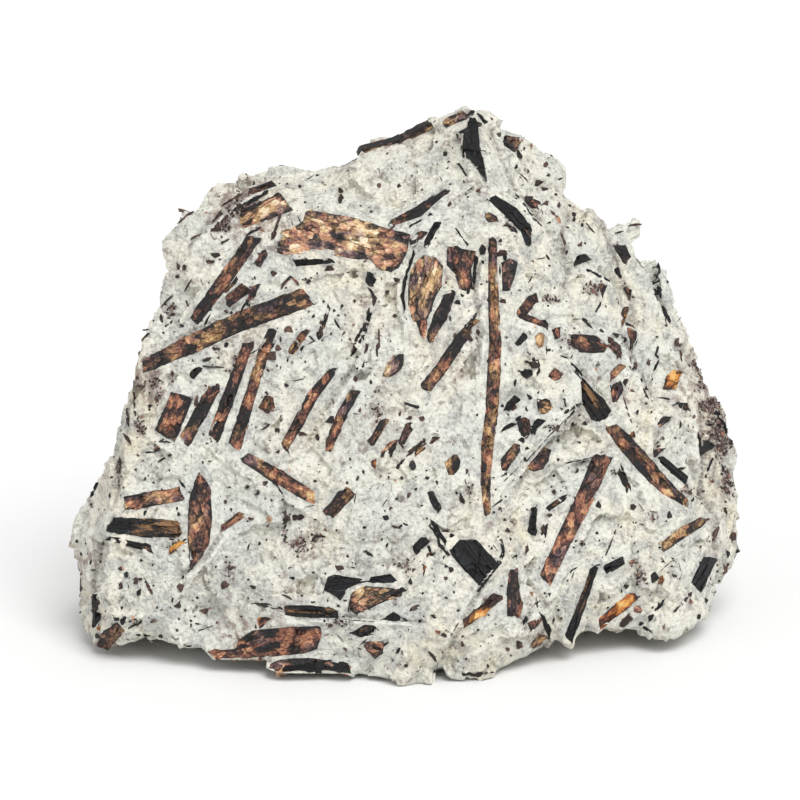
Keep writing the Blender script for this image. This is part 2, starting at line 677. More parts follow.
BRONZE, COPPER, BLACK, AMBER = "astrophyllite", "golden_astrophyllite", "aegirine", "amber"
SMALL_CRYSTALS = {
    "front": [
    (BRONZE, [(-18.3,28.2),(-17.4,29.9),(-16.5,29.6),(-16.1,28.3),(-16.9,27.6)]),
    (BLACK, [(24.8,8.5),(27.4,9.8),(27.7,8.7),(25.2,7.5)]),
    (BRONZE, [(-18.8,46.3),(-17.9,45.8),(-16.9,47.4),(-17.5,48.4)]),
    (BLACK, [(-14.1,46.8),(-13.5,46),(-11.2,46.1),(-8.6,46.4),(-9.4,46.9)]),
    (BRONZE, lath([(-19.5,55.2,.8),(-16.2,56.3,.8)])), (BLACK, lath([(2.6,48.5,.7),(4.3,51.6,.8)])),
    (BRONZE, lath([(-22.9,13.1,.8),(-20.1,15,1)])), (BRONZE, lath([(-.5,23.5,.9),(.8,26.2,1.1)])),
    (BRONZE, lath([(-4.2,23.6,.9),(-2.4,26.8,1)])),
    (BLACK, [(13.8,36.3),(14.4,35.9),(15.6,37.1),(15,37.9)]),
    (BRONZE, [(16.3,37.2),(17,37.7),(17.7,37.5),(17.5,36),(16.7,35.7)]),
    (BRONZE, lath([(-22.2,41.5,1.5),(-19.6,43.4,1.6)])), (BLACK, lath([(-26.8,32,.9),(-25.6,33.3,.9)])),
    (BLACK, [(-4.8,43.6),(-4.6,45.2),(-3.8,45.2),(-3.6,43.6)]),
    (BRONZE, [(14,26.6),(15.2,27.2),(16,25.6),(15.3,24.4),(14.6,24.8)]),
    (BRONZE, [(16.6,29.4),(18.2,29.2),(18.7,28.3),(17.6,27.4),(16.8,27.9)]),
    (BRONZE, [(5,21.4),(6.5,22.7),(7.1,21.7),(6.9,20.6),(5.7,19.3)]),
    (BLACK, [(2.8,17.7),(3.6,18),(4.5,16.2),(4.3,15.2),(3.7,15.5)]),
    (BLACK, lath([(15.9,12.5,1),(16.3,16,.9)])), (BLACK, lath([(17.7,15.4,.7),(20,17.1,.7)])),
    (BLACK, [(-6.8,0),(-5,1.2),(-3.7,1.1),(-3,.3),(-5.6,-.5)]),
    (COPPER, [(-5.6,-1.2),(-4.4,-.9),(-2.4,-.9),(-2.7,-2.4),(-3.6,-3.2)]),
    (BLACK, [(-3.2,1.7),(-1.3,2.8),(-.3,2.2),(1.4,1.5)]), (BRONZE, lath([(25.8,32.1,1),(27.4,33.7,1)])),
    (BRONZE, [(25.8,31),(27.1,31.8),(27.5,30.5),(26.4,28.6),(25.9,29.6)]),
    (BRONZE, [(27.9,38.4),(29.2,37.8),(28.7,35.6),(28.2,36.9)]),
    (BLACK, [(33.6,28.8),(35.5,28.9),(36.2,27.3)]), (BRONZE, lath([(31.7,25.9,.7),(33,27.2,.8)])),
    (BRONZE, [(12.6,62.4),(14.8,61.9),(13.9,60.1),(12.2,61.2)]),
    (BLACK, [(8.3,62.8),(9.2,62.3),(10.1,57.6),(9.4,57.9)]),
    (BLACK, lath([(21.4,46.6,1.2),(23.1,47.2,1)])), (BRONZE, [(24.2,44),(25.4,43.6),(24.8,41.9)]),
    (BRONZE, lath([(26.9,48.6,1.4),(28,46.6,1.2)])),
    (BRONZE, [(-38.5,-1.5),(-37.6,.4),(-35.8,1.4),(-34.9,.4),(-36.9,-2)]),
    (AMBER, lath([(26.9,.9,.9),(28.4,2,.8)])),
    (BRONZE, [(12,21.8),(13.9,24.1),(14.8,23.2),(12.3,19.6)]),
    (BRONZE, [(18.4,38.2),(19.6,38.4),(19.5,37.2),(18.9,36.8)]),
    (BLACK, lath([(-5.2,36.9,.6),(-4.2,40.4,.6)])), (BLACK, lath([(1.2,10.4,1),(2.6,11.8,.9)])),
    (BRONZE, [(9.9,51.4),(11.8,51.5),(11.6,52.3),(10.2,52.9)]),
    (BRONZE, [(17.9,32.2),(18.8,33.4),(20,32.4),(19.2,31.4)]),
    (BRONZE, lath([(-14.4,35,.9),(-12.2,37.9,1)])),
    ],
    "back": [
    (BRONZE, lath([(-26,9.5,1),(-23,12.5,1.1)])), (BLACK, lath([(-8,14,.9),(-6.5,18,1)])),
    (BRONZE, [(9,22),(11,23.5),(11.8,21.5),(10,20.5)]), (BRONZE, lath([(24.5,28.5,1),(27.5,31,1)])),
    (BRONZE, lath([(-18,40,1),(-19.5,43.5,1)])), (BLACK, [(20,43),(22,44),(22.6,42),(21,41)]),
    (BRONZE, lath([(-3,23.5,1),(1,25,1)])), (BRONZE, lath([(28,15,1.1),(30.5,19,1)])),
    (BRONZE, [(-14,11),(-12,12.4),(-11,10.6),(-12.6,9.2)]),
    ],
    "left": [
    (BRONZE, lath([(-2,6,1),(2,8,1)])), (BRONZE, lath([(10,9,1),(13,12,1)])),
    (BLACK, [(8,40),(10,41.5),(11,39.5),(9.5,38.5)]),
    ],
    "right": [
    (BRONZE, lath([(15,28,1),(17.5,31,1)])), (BRONZE, [(8,8.5),(10,9.5),(10.6,7.8),(9,7)]),
    ],
    "top": [
    (BRONZE, lath([(3,16.5,1),(6.5,18.5,1)])),
    ],
}
print("small crystals:", {side: len(rows) for side, rows in SMALL_CRYSTALS.items()})

# %% Lay the outlines on the stone
FAR = 120.0
INSET = 0.85
ON_TOP = 0.03


def way_in(side, a, b):
    """The start and direction of the line that meets the stone at a place on this side."""
    if side == "front":
        return EYE, sight(a, b)
    starts = {"back": (a, FAR, b), "left": (-FAR, a, b), "right": (FAR, a, b), "top": (a, b, FAR)}
    ways = {"back": (0, -1, 0), "left": (1, 0, 0), "right": (-1, 0, 0), "top": (0, 0, -1)}
    return Vector(starts[side]) - BOX_MIDDLE, Vector(ways[side])


def laid(tree, side, outline, proud):
    """The form of an outline laid on a surface, or None where the surface is missing."""
    middle = [sum(values) / len(outline) for values in zip(*outline)]
    hits = []
    for corner in outline:
        inner = [m + (c - m) * INSET for c, m in zip(corner, middle)]
        place = tree.ray_cast(*way_in(side, *inner))[0]
        if place is not None:
            hits.append(place)
    if len(hits) < 3:
        return None
    centre = sum(hits, Vector()) / len(hits)
    out = Vector(np.linalg.svd(np.array([place - centre for place in hits]))[2][2])
    start, way = way_in(side, *middle)
    if out.dot(way) > 0:
        out.negate()
    if -out.dot(way) < 0.25:
        out = (out - way).normalized()
    ring = []
    for corner in outline:
        start, way = way_in(side, *corner)
        ring.append(start + way * ((centre - start).dot(out) / way.dot(out)) + out * proud)
    return Form(ring, out)


small_crystals = [(mineral, laid(STONE, side, outline, ON_TOP))
                  for side, rows in SMALL_CRYSTALS.items() for mineral, outline in rows]
print("laid on the stone:", sum(form is not None for _, form in small_crystals))

# %% [markdown]
# ## The stone's broken surface
#
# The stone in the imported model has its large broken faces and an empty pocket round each
# crystal. Feldspar doesn't break smoothly: it parts along its cleavage in small flat facets and
# steps, from a few millimetres down to sugar grains. That needs corners every half millimetre,
# so the pockets are filled level, and a voxel remesh gives the whole stone one even mesh.

# %% Fill the pockets and mesh the stone finely
VOXEL = 0.40
POCKET_GAP = 0.42
POCKET_EXTRA_DEPTH = 0.45


def add_prism(shape, upper, lower, triangles):
    """A closed body between two rings with the same triangles."""
    top = [shape.verts.new(place) for place in upper]
    low = [shape.verts.new(place) for place in lower]
    for a, b, c in triangles:
        shape.faces.new((top[a], top[b], top[c]))
        shape.faces.new((low[c], low[b], low[a]))
    count = len(top)
    for i in range(count):
        j = (i + 1) % count
        shape.faces.new((top[j], top[i], low[i], low[j]))


def rise_of(form):
    """How far a crystal stands out of the stone: the wider it is, the further."""
    area = abs(np.cross(form.flat[:, :2], np.roll(form.flat[:, :2], -1, axis=0)).sum()) / 2
    around = np.linalg.norm(form.flat - np.roll(form.flat, -1, axis=0), axis=1).sum()
    return 0.3 + 0.12 * 2 * area / around


def add_mesh(name, shape, material):
    """A bmesh in millimetres as an object in metres."""
    mesh = bpy.data.meshes.new(name)
    bmesh.ops.scale(shape, vec=(MM,) * 3, verts=shape.verts)
    shape.to_mesh(mesh)
    shape.free()
    mesh.materials.append(material)
    return into_scene(name, mesh)


def applied(thing):
    """Replaces an object's mesh by what its modifiers make of it."""
    bpy.context.view_layer.update()
    mesh = bpy.data.meshes.new_from_object(thing.evaluated_get(bpy.context.evaluated_depsgraph_get()))
    thing.modifiers.clear()
    old, thing.data = thing.data, mesh
    bpy.data.meshes.remove(old)


shape = opened(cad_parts["matrix"].data)
bmesh.ops.remove_doubles(shape, verts=shape.verts, dist=0.0005)
for name, form in crystals.items():
    grown = shrunk(form.flat, -POCKET_GAP)
    top = np.column_stack([grown, form.heights(grown)[0] - rise_of(form) * 0.9])
    low = np.column_stack([grown, form.heights(grown)[0] - depths[name] - POCKET_EXTRA_DEPTH])
    add_prism(shape, form.world(top).tolist(), form.world(low).tolist(), form.triangles)
bmesh.ops.recalc_face_normals(shape, faces=shape.faces)
stone = add_mesh("stone", shape, FELDSPAR)
stone.modifiers.new("even_mesh", "REMESH").voxel_size = VOXEL * MM
applied(stone)
print("quads:", len(stone.data.polygons))

# %% [markdown]
# ## Ledges, clefts and stains of the front
#
# A random pattern wouldn't put the ledges of this stone in their places, so they're read off the
# front. Each ledge or cleft is a line of corners, and the distance from it says how far the
# surface moves. The same lines tell the material where an edge is pale, and where dirt lies.

# %% Steps and clefts
# The stone is higher on the left of each line by a height, which dies away over a distance:
# height, distance, then the line's corners (u, v).
STEPS = [
    (1.2, 1.5, [(13.5,18),(15,20.5),(18.5,24.9),(20,26.2),(22.2,29)]),
    (1.08, 1.3, [(20.5,21.4),(22.5,21.8),(24,22.2),(24.9,23)]),
    (.96, 1.5, [(5,-2.3),(7,1.6),(9.2,5.8),(12,8.4)]),
    (.96, 1.2, [(-22,13),(-24.5,9.5),(-28,6.7)]),
    (1.08, 1.2, [(30.8,29),(30,31),(28.4,34),(27.5,36),(26.3,38)]),
    (.84, .9, [(31.2,21.8),(31,23),(31.1,25),(31.4,25.6)]),
    (1.08, 1.2, [(36.4,17),(36.9,20),(36.7,24.8),(36.6,28.5)]),
    (.96, 1.2, [(25.2,28.8),(23.4,30.8),(21.3,33.2)]),
    (.96, 1.4, [(-20,41.2),(-24,38.6),(-29.5,36)]),
    (.84, 1.2, [(17.4,50.8),(16.2,52),(15.2,53.5),(14,55)]),
    (1.08, 1.6, [(-16,56.5),(-20,54.4),(-24,51.2),(-27,47.5)]),
    (.84, 1, [(-6,33.5),(-7.5,30.9),(-9.6,27.4)]),
    (.84, 1.2, [(2.6,1.2),(-3,1.6),(-8,1.9),(-14,1.6)]),
    (.72, 1.2, [(9.6,47),(9.2,43),(9.9,38),(9.3,33)]),
]
# Narrow clefts: depth, half width, then the line's corners.
CLEFTS = [
    (.9, .45, [(-37.4,12.5),(-38,10),(-38.7,7),(-38.7,4.5),(-38.2,1)]),
    (.4, .25, [(-35.5,22.3),(-35.6,18.3),(-36.4,15.4)]),
    (.9, .6, [(24.6,51.9),(26.3,47),(27.2,44.2),(28.3,41.8),(28.8,37.4)]),
    (.8, .5, [(35.6,22.5),(37.1,17.5),(39,14.4),(38.8,9.4)]),
    (.5, .35, [(31.8,46.5),(31.6,44.5),(32.1,41.8),(33.4,38.4)]),
    (.5, .4, [(21,53),(19.6,50),(20.6,46),(19.8,42)]),
    (.5, .4, [(10.4,64),(11.5,61),(13.2,57),(14.4,54.8)]),
    (.4, .3, [(-33.9,32.5),(-33.6,30),(-34.6,27.5),(-34.8,24)]),
]
FADE_AT_ENDS = 1.2
BRINK = 0.15
# Beside the line of a step: where the pale edge and the dirt lie, and how wide they are.
PALE = (0.22, 0.30)
DIRT = (-0.35, 0.34)


def beside(places, line):
    """How far each place is to the left of a line, and a share that fades at the line's ends."""
    corners = np.array(line)
    best = np.full(len(places), 1e9)
    side = np.zeros(len(places))
    for a, b in zip(corners, corners[1:]):
        way = (b - a) / np.linalg.norm(b - a)
        along = (places - a) @ way
        across = (places - a) @ np.array([-way[1], way[0]])
        over = np.maximum(np.maximum(-along, along - np.linalg.norm(b - a)), 0.0)
        far = np.hypot(across, over)
        closer = far < best
        best[closer] = far[closer]
        side[closer] = np.where(across[closer] < 0.0, -1.0, 1.0)
    ends = [np.linalg.norm(places - corners[end], axis=1) for end in (0, -1)]
    return best * side, np.clip(np.minimum(*ends) / FADE_AT_ENDS, 0.0, 1.0)


def steps_and_clefts(at):
    """How far the steps and clefts lift each place seen at (u, v)."""
    lift = np.zeros(len(at))
    for height, reach, line in STEPS:
        side, whole = beside(at, line)
        lift += height * 0.5 * np.clip(side / BRINK, -1.0, 1.0) * np.exp(-np.abs(side) / reach) * whole
    for depth, width, line in CLEFTS:
        side, whole = beside(at, line)
        lift -= depth * np.exp(-(side / width) ** 2) * whole
    return lift


def edges_at(at):
    """Above nought on the fresh edge of a step, below nought at its foot and in a cleft."""
    value = np.zeros(len(at))
    for height, reach, line in STEPS:
        side, whole = beside(at, line)
        pale, dirt = (np.exp(-((side - middle) / width) ** 2) for middle, width in (PALE, DIRT))
        value += whole * (pale - dirt)
    for depth, width, line in CLEFTS:
        side, whole = beside(at, line)
        value -= 0.9 * whole * np.exp(-(side / (0.8 * width)) ** 2)
    return value


print("steps:", len(STEPS), "clefts:", len(CLEFTS))

# %% Stains, crowds of crumbs and clear patches
# Brown stains: u, v, radius, strength.
STAINS = [
    (-22,54.5,4,1),(-18,51.5,3,.8),(-31,45,3,.6),(-33,33,3,1),(-31,29.5,2,.8),(-26,44.5,2.5,.7),
    (-12.5,12.5,2.5,.7),(39,26,4,.5),(40,18,4,.4),(36.5,33,3,.5),(-1,27,4,.4),(5,34,4,.6),
    (-18,37,3,.5),(-37,20,3,.5),(17,56,3.5,.4),(-38,-1,3,.9),(-20,-2,4,.5),(28,30,3,.7),(29,8,3,.5),
    (-40,9,2.5,.7),
]
# Where fine crumbs crowd together: u, v, width, height.
CROWDS = [
    (-29.3,40.2,1.8,2.2),(-12,44,1.2,.7),(-19,42.5,1,2.4),(-15.3,48.3,1.6,1.4),(-31,31.5,1.4,1.8),
    (-30.8,29.5,1.2,1.4),(-32.8,31,1,1),(-33.2,26.2,1.2,1.5),(-32.7,25.2,.8,.8),(-21,34.3,1,1.2),
    (-21.5,32.8,1.5,.8),(17.8,42,1,1),(18.9,41.8,.9,.8),(21.3,36.5,1.8,2),(18.7,25.9,.9,.9),
    (36.6,33.6,1.6,1.4),(37.1,31.2,.8,1.6),(38.5,29,1.2,1.6),(38.7,25,1.4,2),(39.6,22.8,1.4,1.6),
    (-39.1,16.2,.6,.8),(35.3,17.8,1.5,1),(-28.8,11.3,1.8,1.6),(-13.3,11.2,2.4,2),(-10.9,12,1.6,.8),
    (-14.9,12.4,.6,1.6),(.2,8.6,1.8,1.4),(31,14.7,.9,1.2),(16.8,-.8,1.8,1.4),(26.2,20.3,.6,1),
    (8.2,18,.8,1.4),(-21.8,8.2,1.2,1.8),(22.2,11.4,.6,.6),(-34,1.7,1,.8),(-23.5,35.8,.8,.8),
    (39,27.6,2.4,3.4),(40,24.2,1.8,3.6),(38.2,31.6,2,2.6),(40.4,18.4,1.4,3),(-20,53.2,4,2.4),
    (-22.5,51,2,2),(40.2,19.5,1,2),(37.4,28.3,1.2,1.6),(-3.5,27.8,1.6,1.6),(-35.8,20.5,1,2.4),
    (29.5,7.2,1.4,2),(-8,1.5,2.4,1),(-17,29.2,1,1.6),(23.5,43.2,1.8,1.6),
]
# Where the grains are clear, so that the stone looks greyer: u, v, radius, strength.
CLEAR = [
    (-22,6,6,1.6),(-29,41.5,4,.8),(-36,11,5,.3),(0,1,6,1),(-31,2,4,.8),(-8,30,4,.6),(13,36,4,.5),
    (22,10,4,.6),(-6,10,4,.7),(20,33,4,.6),(31,10,4,.6),(-30,22,4,.5),(8,12,4,.6),(26,43,3,.5),
    (38,22,3,.8),(-12,3,5,.7),
]
# Whatever lies less deep than this belongs to the front.
FRONT_DEPTH = 14.0


def stains_at(places, at, front):
    """How brown the stone is at each place: by hand on the front, at random elsewhere."""
    value = np.array([0.5 * noise.fractal(Vector(place) / 11.0 + Vector((3.0, 7.0, 1.0)), 0.8, 2.1, 2)
                      for place in places])
    for u, v, radius, strength in STAINS:
        value += strength * front * np.exp(-((at - (u, v)) ** 2).sum(axis=1) / radius ** 2)
    return value


print("stains:", len(STAINS), "crowds:", len(CROWDS), "clear patches:", len(CLEAR))

# %% [markdown]
# ## Broken facets
#
# A plain noise would make the stone lumpy, like dough. A Voronoi pattern divides space into
# cells instead. Each cell stands for one grain of feldspar and tilts as a whole, so the surface
# is flat within a grain and breaks between two. Grains of three sizes lie over each other.

# %% Tilt the facets
# The width of the grains in millimetres, and how steep they tilt.
FACETS = ((7.5, 0.20), (2.8, 0.17), (1.1, 0.13))
UNDERSIDE_SHARE = 0.4


def normals_of(places, quads):
    """The way out of a mesh of quads at each of its corners."""
    corners = places[quads]
    across = np.cross(corners[:, 2] - corners[:, 0], corners[:, 3] - corners[:, 1])
    normals = np.zeros_like(places)
    for corner in range(4):
        np.add.at(normals, quads[:, corner], across)
    return normals / np.maximum(np.linalg.norm(normals, axis=1), 1e-9)[:, None]


def facets(place):
    """How far the small broken facets lift the surface at a place."""
    lift = 0.0
    for size, slope in FACETS:
        centre = noise.voronoi(place / size)[1][0]
        lean = noise.cell_vector(centre * 7.3) * 2 - Vector((1.0, 1.0, 1.0))
        lift += (place - centre * size).dot(lean) * slope
    return lift


mesh = stone.data
places = np.empty(len(mesh.vertices) * 3)
mesh.vertices.foreach_get("co", places)
places = places.reshape(-1, 3) / MM
quads = np.array([polygon.vertices for polygon in mesh.polygons])
normals = normals_of(places, quads)
lifts = np.array([facets(Vector(place)) for place in places])
lifts[normals[:, 2] < -0.9] *= UNDERSIDE_SHARE
print("the facets move the surface by %.2f to %.2f mm" % (lifts.min(), lifts.max()))

# %% [markdown]
# ## Beds for the crystals
#
# The rock broke along the crystals, so it's nearly level round each of them. The outline is
# widened in four steps: the widest ring is the bed, and all four are used again below for the
# clear grains that lie round a crystal like a halo.

# %% Level the beds, then lift the steps
# How far each ring is from the outline, and how clear the grains are inside it.
RINGS = ((0.05, 1.0), (0.35, 0.75), (0.8, 0.35), (1.4, 0.12))
LARGE_BED = 0.10
SMALL_BED = -0.06
BED_PLAY = 0.12


def widened(form, by):
    """The same form with its outline moved outwards."""
    ring = np.column_stack([shrunk(form.flat, -by), form.flat[:, 2]])
    return Form([Vector(place) for place in form.world(ring)], Vector(form.axes[2]))


def near_form(form, flat, aside, low, high):
    """Which places, given in a form's own directions, lie in a box round it."""
    level = (np.abs(flat[:, :2]) < (form.length + aside, form.breadth + aside)).all(axis=1)
    return level & (flat[:, 2] > low) & (flat[:, 2] < high)


everything = list(crystals.values()) + [form for _, form in small_crystals if form]
beds = [[widened(form, by) for by, _ in RINGS] for form in everything]
for number, (*_, bed) in enumerate(beds):
    flat = bed.local(places)
    near = np.nonzero(near_form(bed, flat, 0.0, -3.0, 3.0))[0]
    height, inside = bed.heights(flat[near])
    least = LARGE_BED if number < len(crystals) else SMALL_BED
    lifts[near[inside]] = np.clip(lifts[near[inside]], least, least + BED_PLAY)
facing = normals @ np.array(TOWARD) > 0.05
lifts[facing] += steps_and_clefts(seen_at(places[facing]))
places += normals * lifts[:, None]
print("beds:", len(beds), "corners that face the eye:", int(facing.sum()))

# %% [markdown]
# ## Close the rock round the crystals
#
# The stone's mesh doesn't follow the crystals: it would poke through their flakes. A boolean
# cut is exact, but slow and easily broken on so fine a mesh. Moving corners is enough: those
# under a crystal sink, those next to its outline slide onto it, and those around stay level.

# %% Fit the stone round each crystal
ON_OUTLINE = 0.23
COLLAR = 1.1
SUNK_UNDER = 0.75
LARGE_LEVEL = -0.22
SMALL_LEVEL = -0.03

moved = 0
for number, form in enumerate(everything):
    level = LARGE_LEVEL if number < len(crystals) else SMALL_LEVEL
    flat = form.local(places)
    near = np.nonzero(near_form(form, flat, 0.6, -1.6, 2.2) & (normals @ form.axes[2] > 0.1))[0]
    spots = flat[near]
    closest, far = to_edge(form.flat, spots[:, :2])
    on = far < ON_OUTLINE
    spots[on, :2] = closest[on]
    height, inside = form.heights(spots)
    deep = inside & ~on
    spots[deep, 2] = np.minimum(spots[deep, 2], height[deep] - SUNK_UNDER)
    around = on | (~inside & (far < COLLAR))
    gap = np.where(on, 0.0, far)[around]
    spots[around, 2] = np.clip(spots[around, 2], height[around] + level - 0.04 - 0.8 * gap,
                               height[around] + level + 0.04 + 0.6 * gap)
    places[near] = form.world(spots)
    moved += int(on.sum())
print("corners moved onto an outline:", moved)

# %% Trim the foot and thin out the mesh
# How low the stone reaches under the crystals that make its lower edge: corners (u, v).
FOOT_LINE = [(-25.0, -3.2), (-18.0, -3.3), (-17.2, -4.3), (-15.6, -4.9), (-7.2, -4.95), (-6.2, -5.6)]
FOOT_DEPTH = 10.0
STONE_TRIANGLES = 190000

seen = seen_at(places)
short = np.interp(seen[:, 0], *np.array(FOOT_LINE).T, left=-99.0, right=-99.0) - seen[:, 1]
places += np.maximum(short * (places[:, 1] < FOOT_DEPTH), 0.0)[:, None] * np.array(UP)
places[:, 2] = np.maximum(places[:, 2], 0.0)
mesh.vertices.foreach_set("co", (places * MM).ravel())
mesh.update()
fewer = stone.modifiers.new("fewer", "DECIMATE")
fewer.ratio = min(1.0, STONE_TRIANGLES / (2 * len(quads)))
applied(stone)
print("stone triangles:", sum(len(p.vertices) - 2 for p in stone.data.polygons))

# %% [markdown]
# ## What the stone's material needs to know
#
# A material can't look up where the crystals, ledges and stains are. So each corner of the
# stone carries four values that say so, as named attributes. The finished surface is also kept
# for lines of sight to meet.

# %% Four values for each corner of the stone
def paint(name, values):
    """Gives each corner of the stone a value that its material can read."""
    stone.data.attributes.new(name, "FLOAT", "POINT").data.foreach_set("value", values)


corners = np.array([vertex.co for vertex in stone.data.vertices]) / MM
seen = seen_at(corners)
front = corners[:, 1] < FRONT_DEPTH
paint("stain", stains_at(corners, seen, front))
paint("edge", edges_at(seen) * front)
apart = [(seen - (u, v)) / (wide * 0.55, high * 0.55) for u, v, wide, high in CROWDS]
paint("smudge", sum(np.exp(-(far ** 2).sum(axis=1)) for far in apart) * front)
halo = sum(strength * np.exp(-((seen - (u, v)) ** 2).sum(axis=1) / radius ** 2)
           for u, v, radius, strength in CLEAR) * front
for widths in beds:
    for ring, (_, value) in zip(widths, RINGS):
        flat = ring.local(corners)
        near = np.nonzero(near_form(ring, flat, 0.0, -2.5, 2.5))[0]
        height, inside = ring.heights(flat[near])
        halo[near[inside]] = np.maximum(halo[near[inside]], value)
paint("halo", halo)
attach(stone, "root")
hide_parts("matrix")

SURFACE = ray_tree(stone.data)
print("corners painted:", len(corners), "of them on the front:", int(front.sum()))

# %% [markdown]
# ## Lighter, darker and more golden places
#
# A large plate goes from gold to purple and black, and no two blades have the same tone. A
# random tone for each flake does for the small changes. For the large ones, soft round spots
# say where a crystal is lighter or darker, or more golden or red, than its mineral usually is.

